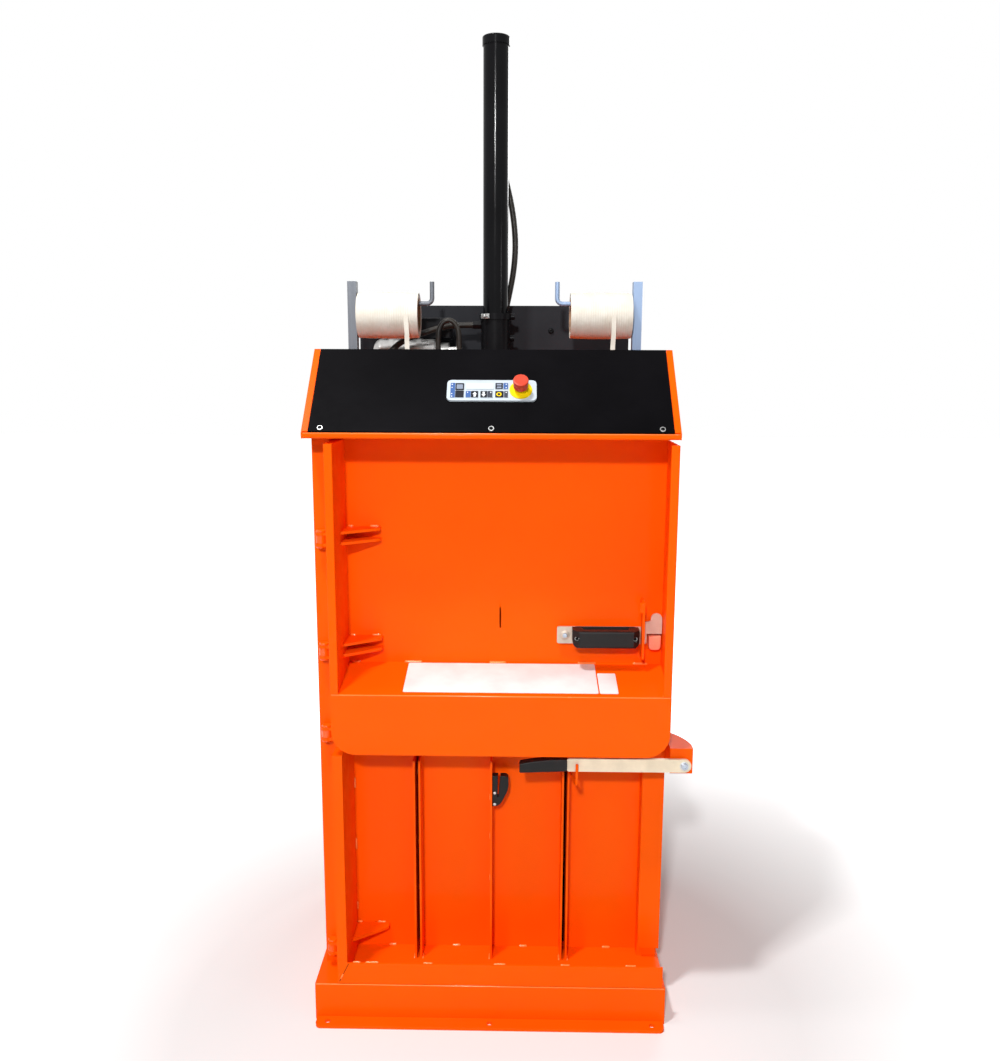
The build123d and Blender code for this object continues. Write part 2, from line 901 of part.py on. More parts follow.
# Rear cover: a folded panel behind the column
with BuildPart() as rear_cover:
    cover_middle = (rear_cover_left + rear_cover_right) / 2
    cover_span = rear_cover_right - rear_cover_left
    with BuildSketch(Plane.XY.offset(deck_top)):
        with Locations((cover_middle, rear_cover_y + rear_cover_fold / 2)):
            Rectangle(cover_span, rear_cover_fold)
        with Locations((cover_middle, rear_cover_y + sheet + rear_cover_fold / 2)):
            Rectangle(cover_span - 2 * sheet, rear_cover_fold, mode=Mode.SUBTRACT)
    extrude(amount=rear_cover_top - sheet - deck_top)
    with BuildSketch(Plane.XY.offset(rear_cover_top - sheet)):
        with Locations((cover_middle, rear_cover_y + rear_cover_fold / 2)):
            Rectangle(cover_span, rear_cover_fold)
    extrude(amount=sheet)
    fillet(rear_cover.edges().filter_by(Axis.X).group_by(Axis.Z)[-1].sort_by(Axis.Y)[0], 2)
save(rear_cover, "rear_cover")

# Pressure hose from the port behind the tube's top down to the port block on the foot
port_y = column_y + tube_radius + port_depth / 2
pressure_top = piston_top - piston_height / 2
pressure_low = foot_top + port_height
low_port_y = column_y + foot_size / 2 - port_depth
hose_drop = pressure_top - pressure_low
pressure_route = (
    (0, port_y, 0),
    (0, port_y, 0.10),
    (9, 402, 0.23),
    (22, 396, 0.34),
    (44, 386, 0.46),
    (54, 380, 0.58),
    (50, 381, 0.68),
    (36, 388, 0.78),
    (22, 400, 0.86),
    (low_port_x, low_port_y, 0.93),
    (low_port_x, low_port_y, 1),
)
with BuildPart() as pressure_hose:
    hose([(x, y, pressure_top - drop * hose_drop) for x, y, drop in pressure_route], hose_radius)
save(pressure_hose, "pressure_hose")

# Side hose from the sleeve behind the left roll to the deck
side_hose_z = sleeve_top - side_hose_drop
union_top = deck_top + union_height
with BuildPart() as side_hose:
    hose(
        (
            (-sleeve_radius - union_height, column_y, side_hose_z),
            (-100, column_y, side_hose_z),
            (-150, 343, 1765),
            (-200, 331, 1748),
            (-246, 318, 1732),
            (-282, 306, 1700),
            (side_hose_x, side_hose_y, 1668),
            (side_hose_x, side_hose_y, union_top),
        ),
        hose_radius,
    )
save(side_hose, "side_hose")

# Loop hose that arches between two deck unions beside the column
with BuildPart() as loop_hose:
    hose(
        (
            (loop_left, loop_y, union_top),
            (loop_left, loop_y, 1690),
            (loop_left + 8, loop_y + 1, 1744),
            (loop_left + 21, loop_y + 2, 1779),
            (loop_right - 17, loop_y + 3, 1781),
            (loop_right - 5, loop_y + 2, 1752),
            (loop_right, loop_y, 1700),
            (loop_right, loop_y, union_top),
        ),
        loop_radius,
    )
save(loop_hose, "loop_hose")

# Hose unions on the deck and the sleeve, and the port blocks of the pressure hose
with BuildPart() as hose_unions:
    with BuildSketch(Plane.XY.offset(deck_top)):
        with Locations((side_hose_x, side_hose_y), (loop_left, loop_y), (loop_right, loop_y)):
            RegularPolygon(union_radius, 6)
    extrude(amount=union_height)
    with BuildSketch(Plane.YZ.offset(-sleeve_radius)):
        with Locations((column_y, side_hose_z)):
            RegularPolygon(union_radius, 6)
    extrude(amount=-union_height)
    with BuildSketch(Plane.XY.offset(pressure_top)):
        with Locations((0, port_y)):
            Rectangle(port_size, port_depth + 2)
    extrude(amount=port_size)
    with BuildSketch(Plane.XY.offset(foot_top)):
        with Locations((low_port_x, low_port_y)):
            Rectangle(port_size, port_size)
    extrude(amount=port_height)
    with BuildSketch(Plane.XY.offset(deck_top)):
        with Locations((0, column_y)):
            Circle(tube_radius + fit_gap)
    extrude(amount=column_top - deck_top, mode=Mode.SUBTRACT)
save(hose_unions, "hose_unions")

# Hinge lugs on the left side wall, and the pins
with BuildPart() as hinge_lugs:
    for height in upper_hinge_heights + lower_hinge_heights:
        with BuildSketch(Plane.XY.offset(height - barrel_height / 2)):
            with Locations((hinge_x, hinge_y)):
                Circle(barrel_radius)
            with Locations((hinge_x, hinge_y / 2)):
                Rectangle(lug_width, -hinge_y)
            with Locations((hinge_x, hinge_y)):
                Circle(pin_radius, mode=Mode.SUBTRACT)
        extrude(amount=barrel_height)
save(hinge_lugs, "hinge_lugs")

with BuildPart() as hinge_pins:
    half_pin = fork_offset + fork_thickness / 2 + fork_gap
    for height in upper_hinge_heights + lower_hinge_heights:
        with BuildSketch(Plane.XY.offset(height - half_pin)):
            with Locations((hinge_x, hinge_y)):
                Circle(pin_radius)
        extrude(amount=2 * half_pin)
        for level in (height - half_pin - pin_head_height, height + half_pin):
            with BuildSketch(Plane.XY.offset(level)):
                with Locations((hinge_x, hinge_y)):
                    Circle(pin_head_radius)
            extrude(amount=pin_head_height)
    heads = hinge_pins.faces().filter_by(Axis.Z).filter_by(lambda f: f.area > 1.5 * math.pi * pin_radius**2)
    fillet(heads.edges(), pin_head_round)
save(hinge_pins, "hinge_pins")

# Keeper stub that the upper latch drops over
with BuildPart() as latch_keeper:
    with BuildSketch(Plane.XZ.offset(-right_wall_front)):
        with Locations((keeper_left + keeper_width / 2, (keeper_bottom + keeper_top) / 2)):
            RectangleRounded(keeper_width, keeper_top - keeper_bottom, 4)
    extrude(amount=right_wall_front - keeper_front)
    fillet(latch_keeper.faces().sort_by(Axis.Y)[0].edges(), 3)
save(latch_keeper, "latch_keeper")

# Upper door panel with its slit and the keeper's window
with BuildPart() as upper_panel:
    with BuildSketch(Plane.XZ.offset(-panel_front)):
        with Locations(((door_left + door_right) / 2, (upper_door_bottom + upper_door_top) / 2)):
            Rectangle(door_right - door_left, upper_door_top - upper_door_bottom)
        with Locations((slit_x, slit_z)):
            Rectangle(slit_width, slit_height, mode=Mode.SUBTRACT)
        with Locations((keeper_left + keeper_width / 2, (keeper_bottom + keeper_top) / 2)):
            window_height = keeper_top - keeper_bottom + 2 * keeper_clearance
            Rectangle(keeper_width + 2 * keeper_clearance, window_height, mode=Mode.SUBTRACT)
    extrude(amount=-panel_thickness)
save(upper_panel, "upper_panel")

# Side flanges of the upper door, cut to the slope of the shelf: the right one is folded, with a front return
for name, low_x, thickness in (
    ("upper_flange_left", door_left, flange_width),
    ("upper_flange_right", side_plate, plate_thickness),
):
    with BuildPart() as upper_flange:
        with BuildSketch(Plane.YZ.offset(low_x)):
            with BuildLine():
                Polyline(
                    (door_front, flange_low),
                    (door_front + plate_thickness, flange_low),
                    (panel_front, shelf_back_height),
                    (panel_front, upper_door_top),
                    (door_front, upper_door_top),
                    close=True,
                )
            make_face()
        extrude(amount=thickness)
        if low_x == door_left:
            fillet(upper_flange.edges().filter_by(Axis.Z).group_by(Axis.Y)[0], 2)
            hinge_forks(upper_hinge_heights, door_left)
            for height in upper_hinge_heights:
                for side in (-1, 1):
                    door_strap(height + side * fork_offset, door_left + flange_width)
        else:
            with BuildSketch(Plane.XY.offset(flange_low)):
                with Locations((door_right - flange_width / 2, door_front + plate_thickness / 2)):
                    Rectangle(flange_width, plate_thickness)
            extrude(amount=upper_door_top - flange_low)
            fillet(upper_flange.edges().filter_by(Axis.Z).group_by(Axis.Y)[0], 2)
    save(upper_flange, name)

# Folded shelf and apron
with BuildPart() as shelf_apron:
    shelf_drop = shelf_drop_share * plate_thickness
    with BuildSketch(Plane.YZ.offset(door_left)):
        with BuildLine():
            Polyline(
                (panel_front, shelf_back_height),
                (door_front, shelf_front_height),
                (door_front, apron_bottom),
                (door_front + plate_thickness, apron_bottom),
                (door_front + plate_thickness, shelf_front_height - plate_thickness + shelf_drop),
                (panel_front, shelf_back_height - plate_thickness),
                close=True,
            )
        make_face()
    extrude(amount=door_right - door_left)
    apron_ends = shelf_apron.edges().filter_by(Axis.Y).group_by(Axis.Z)[0]
    fillet(apron_ends, apron_corner)
    fold = shelf_apron.edges().filter_by(Axis.X).group_by(Axis.Y)[0].sort_by(Axis.Z)[-1]
    fillet(fold, fold_radius)
save(shelf_apron, "shelf_apron")

# Latch guide on the upper door, with the window that the latch bar rises in
with BuildPart() as latch_guide:
    with BuildSketch(Plane.YZ.offset(guide_x)):
        with Locations((panel_front - guide_reach / 2, (guide_bottom + guide_top) / 2)):
            Rectangle(guide_reach, guide_top - guide_bottom)
        window_middle = (guide_slot_bottom + guide_slot_top) / 2
        with Locations((panel_front - latch_standoff - latch_thickness / 2, window_middle)):
            slot_height = guide_slot_top - guide_slot_bottom
            Rectangle(latch_thickness + 2 * guide_slot_play, slot_height, mode=Mode.SUBTRACT)
    extrude(amount=guide_thickness)
    with BuildSketch(Plane.XZ.offset(-panel_front + guide_reach - guide_lip_thickness)):
        with Locations((guide_x + guide_thickness / 2 - guide_lip_width / 2, guide_top - guide_lip_height / 2)):
            Rectangle(guide_lip_width, guide_lip_height)
    extrude(amount=guide_lip_thickness)
save(latch_guide, "latch_guide")

# Latch pivot bolt with its spacer
latch_front = panel_front - latch_standoff - latch_thickness
with BuildPart() as latch_pivot:
    with BuildSketch(Plane.XZ.offset(-panel_front)):
        with Locations((latch_pivot_x, latch_z)):
            Circle(bolt_radius + 4)
    extrude(amount=latch_standoff - fork_gap)
    with BuildSketch(Plane.XZ.offset(-panel_front)):
        with Locations((latch_pivot_x, latch_z)):
            Circle(bolt_radius)
    extrude(amount=latch_standoff + latch_thickness + fork_gap)
    with BuildSketch(Plane.XZ.offset(-latch_front + fork_gap)):
        with Locations((latch_pivot_x, latch_z)):
            Circle(washer_radius)
    extrude(amount=washer_thickness)
    with BuildSketch(Plane.XZ.offset(-latch_front + fork_gap + washer_thickness)):
        with Locations((latch_pivot_x, latch_z)):
            RegularPolygon(bolt_head_radius, 6)
    extrude(amount=bolt_head_height)
save(latch_pivot, "latch_pivot")

# Latch bar with its shoulder and rounded nose
with BuildPart() as latch_bar:
    with BuildSketch(Plane.XZ.offset(-latch_front)):
        bar_middle = (latch_left + latch_bar_right) / 2
        with Locations((bar_middle, latch_z)):
            RectangleRounded(latch_bar_right - latch_left, latch_height, 5)
        shoulder_left = guide_x + guide_thickness + 1
        with BuildLine():
            nose_radius = (nose_right - nose_left) / 2
            shoulder_top = latch_z + latch_shoulder
            l1 = Line((shoulder_left, nose_bottom), (nose_right, nose_bottom))
            l2 = Line(l1 @ 1, (nose_right, nose_top - nose_radius))
            l3 = ThreePointArc(
                l2 @ 1, (nose_left + nose_radius, nose_top), (nose_left, nose_top - nose_radius)
            )
            l4 = Spline(l3 @ 1, (shoulder_left + 3, shoulder_top), tangents=((0, -1), (-1, 0)))
            l5 = Line(l4 @ 1, (shoulder_left, shoulder_top))
            Line(l5 @ 1, l1 @ 0)
        make_face()
        with Locations((latch_pivot_x, latch_z)):
            Circle(bolt_radius + pin_clearance, mode=Mode.SUBTRACT)
    extrude(amount=-latch_thickness)
save(latch_bar, "latch_bar")

# Bridge grip on the latch bar, with a screw recess in each foot
with BuildPart() as latch_grip:
    grip_right = grip_left + grip_length
    grip_front = latch_front - grip_stand
    with BuildSketch(Plane.XY.offset(latch_z - grip_height / 2)):
        with BuildLine():
            Polyline(
                (grip_left, latch_front),
                (grip_left, grip_front + grip_slope),
                (grip_left + grip_slope, grip_front),
                (grip_right - grip_slope, grip_front),
                (grip_right, grip_front + grip_slope),
                (grip_right, latch_front),
                (grip_right - grip_foot, latch_front),
                (grip_right - grip_foot - grip_inner_slope, grip_front + grip_bar),
                (grip_left + grip_foot + grip_inner_slope, grip_front + grip_bar),
                (grip_left + grip_foot, latch_front),
                close=True,
            )
        make_face()
    extrude(amount=grip_height)
    fillet(latch_grip.faces().sort_by(Axis.Y)[0].edges().filter_by(Axis.X), grip_front_round)
    with BuildSketch(Plane.XZ.offset(-latch_front)):
        with Locations(((grip_left + grip_right) / 2, latch_z)):
            face_outline = Rectangle(grip_length, grip_height)
        fillet(face_outline.vertices().group_by(Axis.Y)[0], grip_low_round)
    extrude(amount=grip_stand, mode=Mode.INTERSECT)
    with BuildSketch(Plane.XZ.offset(-grip_front - grip_slope)):
        with Locations((grip_left + grip_screw_inset, latch_z), (grip_right - grip_screw_inset, latch_z)):
            Circle(grip_recess)
    extrude(amount=grip_slope, mode=Mode.SUBTRACT)
save(latch_grip, "latch_grip")

# Lower door panel with its two strap slots
with BuildPart() as lower_panel:
    with BuildSketch(Plane.XZ.offset(-panel_front)):
        with Locations(((door_left + stile_left) / 2, (sill_top + lower_top) / 2)):
            Rectangle(stile_left - door_left, lower_top - sill_top)
        for x in (-strap_slot_offset, strap_slot_offset):
            with Locations((x, (slot_bottom + slot_top) / 2)):
                Rectangle(strap_slot_width, slot_top - slot_bottom, mode=Mode.SUBTRACT)
    extrude(amount=-panel_thickness)
save(lower_panel, "lower_panel")

# Left flange of the lower door: mitred foot, ear for the upper hinge, hinge arms
flange_inner = door_left + lower_flange_width
lip_top_z = sill_bottom + lip_height
with BuildPart() as lower_flange_left:
    with BuildSketch(Plane.XY.offset(sill_top)):
        with Locations(((door_left + flange_inner) / 2, (door_front + plate_thickness + panel_front) / 2)):
            Rectangle(lower_flange_width, panel_front - door_front - plate_thickness)
    extrude(amount=lower_top - sill_top)
    with BuildSketch(Plane.XZ.offset(-door_front)):
        with BuildLine():
            Polyline(
                (door_left, sill_bottom),
                (flange_inner, lip_top_z),
                (flange_inner, lower_top),
                (door_left, lower_top),
                close=True,
            )
        make_face()
    extrude(amount=-plate_thickness)
    with BuildSketch(Plane.XY.offset(lower_top)):
        with Locations(((door_left + flange_inner) / 2, (ear_front + ear_back) / 2)):
            Rectangle(lower_flange_width, ear_back - ear_front)
    extrude(amount=ear_height)
    hinge_forks(lower_hinge_heights, door_left)
    door_strap(lower_hinge_heights[1] + fork_offset, flange_inner)
save(lower_flange_left, "lower_flange_left")

# Sill with its mitred front lip
with BuildPart() as lower_sill:
    with BuildSketch(Plane.XY.offset(sill_bottom)):
        with Locations(((door_left + foot_right) / 2, (door_front + plate_thickness + panel_back) / 2)):
            Rectangle(foot_right - door_left, panel_back - door_front - plate_thickness)
    extrude(amount=plate_thickness)
    with BuildSketch(Plane.XZ.offset(-door_front)):
        with BuildLine():
            Polyline(
                (door_left, sill_bottom),
                (foot_right, sill_bottom),
                (foot_right, lip_top_z),
                (flange_inner, lip_top_z),
                close=True,
            )
        make_face()
    extrude(amount=-plate_thickness)
save(lower_sill, "lower_sill")

# Ribs beside the strap slots and in the middle, with the lever's guard rod
with BuildPart() as lower_ribs:
    rib_places = [0]
    for x in (-strap_slot_offset, strap_slot_offset):
        for side in (-1, 1):
            rib_places.append(x + side * (strap_slot_width + rib_thickness) / 2)
    with BuildSketch(Plane.XY.offset(sill_top)):
        for x in rib_places:
            with Locations((x, panel_front - rib_depth / 2)):
                Rectangle(rib_thickness, rib_depth)
    extrude(amount=rib_top - sill_top)
    guard_x = max(rib_places)
    with BuildLine() as guard_line:
        FilletPolyline(
            (guard_x, panel_front - rib_depth + 12, cradle_z),
            (cradle_x, cradle_front, cradle_z),
            (cradle_x, cradle_front, cradle_top),
            radius=cradle_bend,
        )
    with BuildSketch(Plane(origin=guard_line.line @ 0, z_dir=guard_line.line % 0)):
        Circle(cradle_radius)
    sweep(path=guard_line.line)
save(lower_ribs, "lower_ribs")

# Right stile of the lower door and its narrower foot
with BuildPart() as right_stile:
    stile_bottom = sill_top + stile_foot_gap
    with BuildSketch(Plane.XZ.offset(-stile_front)):
        with Locations(((stile_left + stile_right) / 2, (stile_bottom + lower_top) / 2)):
            stile = Rectangle(stile_right - stile_left, lower_top - stile_bottom)
        fillet(stile.vertices().group_by(Axis.Y)[0].sort_by(Axis.X)[0], stile_corner)
    extrude(amount=-(panel_back - stile_front))
    with BuildSketch(Plane.XY.offset(sill_top)):
        with Locations(((stile_left + foot_right) / 2, (foot_front + panel_back) / 2)):
            Rectangle(foot_right - stile_left, panel_back - foot_front)
    extrude(amount=stile_foot_gap + stile_corner)
save(right_stile, "right_stile")

# Strap hook on the middle rib: a leg, a bow and a free prong with a tapered slot between
with BuildPart() as strap_hook:
    hook_left = rib_thickness / 2
    hook_right = hook_left + hook_width
    hook_top = hook_bottom + hook_height
    slot_left = hook_left + hook_leg
    with BuildSketch(Plane.XZ.offset(-hook_front)) as hook_outline:
        with BuildLine():
            b1 = Line((hook_left, hook_top), (hook_left, hook_bottom))
            b2 = Line(b1 @ 1, (hook_left + hook_leg * 0.3, hook_bottom))
            b3 = Spline(
                b2 @ 1,
                (hook_left + hook_width * 0.7, hook_bottom + hook_height * 0.25),
                (hook_right, hook_bottom + hook_height * 0.7),
                tangents=((1, 0), (0, 1)),
            )
            b4 = Line(b3 @ 1, (hook_right, hook_top))
            Line(b4 @ 1, b1 @ 0)
        make_face()
        with BuildLine():
            Polyline(
                (slot_left, hook_top + 1),
                (slot_left - 1, hook_top - hook_slot_depth),
                (slot_left + 1, hook_top - hook_slot_depth),
                (slot_left + hook_slot, hook_top + 1),
                close=True,
            )
        make_face(mode=Mode.SUBTRACT)
        tops = hook_outline.vertices().group_by(Axis.Y)[-1].sort_by(Axis.X)
        fillet(tops[-1], hook_tip_round)
        fillet(tops[-2], hook_edge_round * 2)
    extrude(amount=-hook_depth)
    fillet(strap_hook.faces().sort_by(Axis.Y)[0].edges(), hook_edge_round)
save(strap_hook, "strap_hook")

# Lock housing beside the stile
with BuildPart() as lock_housing:
    with BuildSketch(Plane.XY.offset(housing_bottom)):
        with BuildLine():
            h1 = Line((stile_right, housing_front), (housing_right, housing_front))
            h2 = Line(h1 @ 1, (housing_right, housing_front + housing_nose))
            h3 = RadiusArc(h2 @ 1, (stile_right, housing_back), -150)
            Line(h3 @ 1, h1 @ 0)
        make_face()
    extrude(amount=housing_top - housing_bottom)
    offset(amount=-housing_wall, openings=lock_housing.faces().sort_by(Axis.Z)[0])
save(lock_housing, "lock_housing")

# Lever pivot bolt with its spacer
bar_front = lever_y - lever_thickness / 2
bar_back = lever_y + lever_thickness / 2
with BuildPart() as lever_bolt:
    with BuildSketch(Plane.XZ.offset(-housing_front)):
        with Locations((lever_pivot_x, lever_z)):
            Circle(bolt_radius + 4)
    extrude(amount=housing_front - bar_back - fork_gap)
    with BuildSketch(Plane.XZ.offset(-housing_front)):
        with Locations((lever_pivot_x, lever_z)):
            Circle(bolt_radius)
    extrude(amount=housing_front - bar_front + fork_gap)
    with BuildSketch(Plane.XZ.offset(-bar_front + fork_gap)):
        with Locations((lever_pivot_x, lever_z)):
            Circle(washer_radius)
    extrude(amount=washer_thickness)
    with BuildSketch(Plane.XZ.offset(-bar_front + fork_gap + washer_thickness)):
        with Locations((lever_pivot_x, lever_z)):
            RegularPolygon(bolt_head_radius, 6)
    extrude(amount=bolt_head_height)
save(lever_bolt, "lever_bolt")

# Lever bar: round at the pivot, with a tang in the grip
with BuildPart() as lever_bar:
    with BuildSketch(Plane.XZ.offset(-bar_front)):
        with Locations(((bar_left + lever_pivot_x) / 2, lever_z)):
            bar_outline = Rectangle(lever_length, lever_height)
        fillet(bar_outline.vertices().group_by(Axis.X)[0], lever_corner)
        with Locations((lever_pivot_x, lever_z)):
            Circle(lever_height / 2)
            Circle(bolt_radius + pin_clearance, mode=Mode.SUBTRACT)
        with Locations((bar_left - lever_tang_length / 2, lever_z)):
            Rectangle(lever_tang_length, lever_tang_height)
    extrude(amount=-lever_thickness)
save(lever_bar, "lever_bar")

# Lever grip: arched top and tapered end, pushed over the bar's tang
with BuildPart() as lever_grip:
    grip_end = bar_left - fit_gap
    grip_start = grip_end - lever_grip_length
    with BuildSketch(Plane.XZ.offset(-lever_y + lever_grip_thickness / 2)):
        with BuildLine():
            low = lever_z - lever_grip_height / 2
            high = lever_z + lever_grip_height / 2
            end_low = low - 2
            g1 = Line((grip_start, end_low + lever_grip_end_height), (grip_start, end_low))
            g2 = Line(g1 @ 1, (grip_end, low + 3))
            g3 = Line(g2 @ 1, (grip_end, high))
            ThreePointArc(g3 @ 1, (grip_start + lever_grip_length * 0.55, high - 2), g1 @ 0)
        make_face()
    extrude(amount=-lever_grip_thickness)
    fillet(lever_grip.edges().filter_by(Axis.Y), lever_grip_round)
    fillet(lever_grip.faces().filter_by(Axis.Y).edges(), lever_grip_edge_round)
    with BuildSketch(Plane.XZ.offset(-bar_front)):
        with Locations((bar_left - lever_tang_length / 2, lever_z)):
            Rectangle(lever_tang_length, lever_tang_height)
    extrude(amount=-lever_thickness, mode=Mode.SUBTRACT)
save(lever_grip, "lever_grip")
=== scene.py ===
"""Recycling baler: studio scene over the fixed frame. Metres, +Z up, the doors face -Y."""
import json
import math

import bmesh
import bpy
from mathutils import Matrix, Vector


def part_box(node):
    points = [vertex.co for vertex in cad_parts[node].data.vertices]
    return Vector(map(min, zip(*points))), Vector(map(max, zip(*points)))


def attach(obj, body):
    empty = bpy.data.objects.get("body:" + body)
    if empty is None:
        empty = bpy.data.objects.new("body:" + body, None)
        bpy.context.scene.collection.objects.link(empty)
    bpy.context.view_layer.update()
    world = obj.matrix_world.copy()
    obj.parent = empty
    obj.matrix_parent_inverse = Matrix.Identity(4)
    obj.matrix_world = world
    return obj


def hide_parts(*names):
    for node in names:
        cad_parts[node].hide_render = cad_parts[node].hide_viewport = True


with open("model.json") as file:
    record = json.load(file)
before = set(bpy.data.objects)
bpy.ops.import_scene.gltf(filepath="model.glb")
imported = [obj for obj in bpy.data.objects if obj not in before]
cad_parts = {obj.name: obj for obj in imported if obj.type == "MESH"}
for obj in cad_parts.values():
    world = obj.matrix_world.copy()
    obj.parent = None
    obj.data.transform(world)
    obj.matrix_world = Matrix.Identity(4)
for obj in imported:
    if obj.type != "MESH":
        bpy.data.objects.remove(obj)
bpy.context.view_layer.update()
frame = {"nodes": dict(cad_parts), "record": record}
bpy.ops.object.select_all(action="DESELECT")
nodes = frame["nodes"]
slots = {entry["node"]: entry["material_slot"] for entry in frame["record"]["subparts"]}


# Sizes of the machine that the pieces are set against, as in the part's source
door_front = -0.097
lip_top = 1.510
slope_rise, slope_run = 0.193, 0.182
shelf_front_height, shelf_back_height = 0.876, 0.908
shelf_depth = 0.165
keypad_along, keypad_thickness, key_thickness = 0.128, 0.005, 0.0012
estop_x, estop_disc_thickness, estop_collar_height, estop_travel = 0.069, 0.002, 0.007, 0.004

slope_angle = math.atan2(slope_rise, slope_run)
slope_up = Vector((0, math.cos(slope_angle), math.sin(slope_angle)))
slope_out = Vector((0, -math.sin(slope_angle), math.cos(slope_angle)))
shelf_angle = math.atan2(shelf_back_height - shelf_front_height, shelf_depth)
key_level = keypad_thickness + key_thickness
to_front = (0, -1, 0)
upright = (math.pi / 2, 0, 0)


def corners(node):
    """The low and the high corner of a CAD node's box."""
    low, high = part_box(node)
    return Vector(low), Vector(high)


def on_slope(x, along, height=0.0):
    """A point of the hood's slope: across, up the slope, and above it."""
    return Vector((x, door_front, lip_top)) + slope_up * along + slope_out * height


def on_shelf(x, y):
    """A point on the shelf's upper face."""
    rise = (shelf_back_height - shelf_front_height) * (y - door_front) / shelf_depth
    return Vector((x, y, shelf_front_height + rise))


# Finishes: the parts that they are made of

def new_finish(name):
    """A material with an untouched surface shader, and what is needed to wire it."""
    material = bpy.data.materials.new(name)
    material.use_nodes = True
    tree = material.node_tree
    shader = tree.nodes["Principled BSDF"]
    place = tree.nodes.new("ShaderNodeTexCoord").outputs["Object"]
    return material, tree, shader, place


def noise(tree, place, scale, detail=3.0, roughness=0.55):
    """Fractal noise on the object's own coordinates."""
    node = tree.nodes.new("ShaderNodeTexNoise")
    node.inputs["Scale"].default_value = scale
    node.inputs["Detail"].default_value = detail
    node.inputs["Roughness"].default_value = roughness
    tree.links.new(place, node.inputs["Vector"])
    return node.outputs["Fac"]


def cells(tree, place, scale):
    """Distance to the middles of random cells."""
    node = tree.nodes.new("ShaderNodeTexVoronoi")
    node.inputs["Scale"].default_value = scale
    tree.links.new(place, node.inputs["Vector"])
    return node.outputs["Distance"]


def spread(tree, value, low, high, from_low=0.3, from_high=0.7):
    """Maps a value, by default noise, to a range."""
    node = tree.nodes.new("ShaderNodeMapRange")
    node.inputs["From Min"].default_value = from_low
    node.inputs["From Max"].default_value = from_high
    node.inputs["To Min"].default_value = low
    node.inputs["To Max"].default_value = high
    tree.links.new(value, node.inputs["Value"])
    return node.outputs["Result"]


def between(tree, factor, first, second):
    """Mixes two colours."""
    node = tree.nodes.new("ShaderNodeMix")
    node.data_type = "RGBA"
    tree.links.new(factor, node.inputs["Factor"])
    node.inputs["A"].default_value = (*first, 1)
    node.inputs["B"].default_value = (*second, 1)
    return node.outputs["Result"]


def stretched(tree, place, scale):
    """Object coordinates stretched along one way, for brushed or drawn surfaces."""
    node = tree.nodes.new("ShaderNodeMapping")
    node.inputs["Scale"].default_value = scale
    tree.links.new(place, node.inputs["Vector"])
    return node.outputs["Vector"]


def clouded_colour(tree, shader, place, scale, detail, first, second):
    """A base colour that drifts between two colours."""
    clouds = spread(tree, noise(tree, place, scale, detail), 0.0, 1.0)
    tree.links.new(between(tree, clouds, first, second), shader.inputs["Base Color"])


def uneven_gloss(tree, shader, place, scale, detail, rough):
    """A roughness that drifts between two values."""
    gloss = spread(tree, noise(tree, place, scale, detail), *rough)
    tree.links.new(gloss, shader.inputs["Roughness"])


def raise_surface(tree, shader, height, strength, distance):
    """Bump from a height."""
    node = tree.nodes.new("ShaderNodeBump")
    node.inputs["Strength"].default_value = strength
    node.inputs["Distance"].default_value = distance
    tree.links.new(height, node.inputs["Height"])
    tree.links.new(node.outputs["Normal"], shader.inputs["Normal"])


# Finishes: the materials themselves

def orange_coat(name, colour=(0.98, 0.110, 0.0008), deep=(0.93, 0.096, 0.0006), gloss=0.02,
                rough=(0.36, 0.52), coat=0.08):
    """Powder coat: slightly uneven colour, fine orange-peel skin, soft gloss."""
    material, tree, shader, place = new_finish(name)
    clouded_colour(tree, shader, place, 2.3, 4.0, colour, deep)
    uneven_gloss(tree, shader, place, 34.0, 5.0, rough)
    shader.inputs["Specular IOR Level"].default_value = gloss
    shader.inputs["Coat Weight"].default_value = coat
    shader.inputs["Coat Roughness"].default_value = 0.16
    skin = noise(tree, place, scale=420.0, detail=2.0)
    raise_surface(tree, shader, skin, strength=0.10, distance=0.0005)
    return material


def black_coat(name, colour, rough, grain, gloss):
    """Black paint with a fine grain."""
    material, tree, shader, place = new_finish(name)
    lighter = tuple(c * 1.7 for c in colour)
    clouded_colour(tree, shader, place, 5.0, 4.0, colour, lighter)
    uneven_gloss(tree, shader, place, 46.0, 5.0, rough)
    shader.inputs["Specular IOR Level"].default_value = gloss
    skin = noise(tree, place, scale=grain, detail=2.0)
    raise_surface(tree, shader, skin, strength=0.12, distance=0.0004)
    return material


def bare_steel(name, colour, rough=(0.28, 0.46), grain=(6.0, 260.0, 260.0), metal=1.0):
    """Steel with a drawn grain and faint stains."""
    material, tree, shader, place = new_finish(name)
    worn = tuple(c * 0.78 for c in colour)
    clouded_colour(tree, shader, place, 22.0, 5.0, colour, worn)
    lines = noise(tree, stretched(tree, place, grain), scale=1.0, detail=3.0)
    tree.links.new(spread(tree, lines, *rough), shader.inputs["Roughness"])
    shader.inputs["Metallic"].default_value = metal
    raise_surface(tree, shader, lines, strength=0.08, distance=0.0004)
    return material


def cast_alloy(name):
    """Cast motor alloy, blasted and lightly polished by handling."""
    material, tree, shader, place = new_finish(name)
    clouded_colour(tree, shader, place, 16.0, 5.0, (0.80, 0.79, 0.77), (0.46, 0.45, 0.44))
    uneven_gloss(tree, shader, place, 40.0, 3.0, (0.22, 0.44))
    shader.inputs["Metallic"].default_value = 0.9
    skin = noise(tree, place, scale=500.0, detail=3.0)
    raise_surface(tree, shader, skin, strength=0.22, distance=0.0006)
    return material


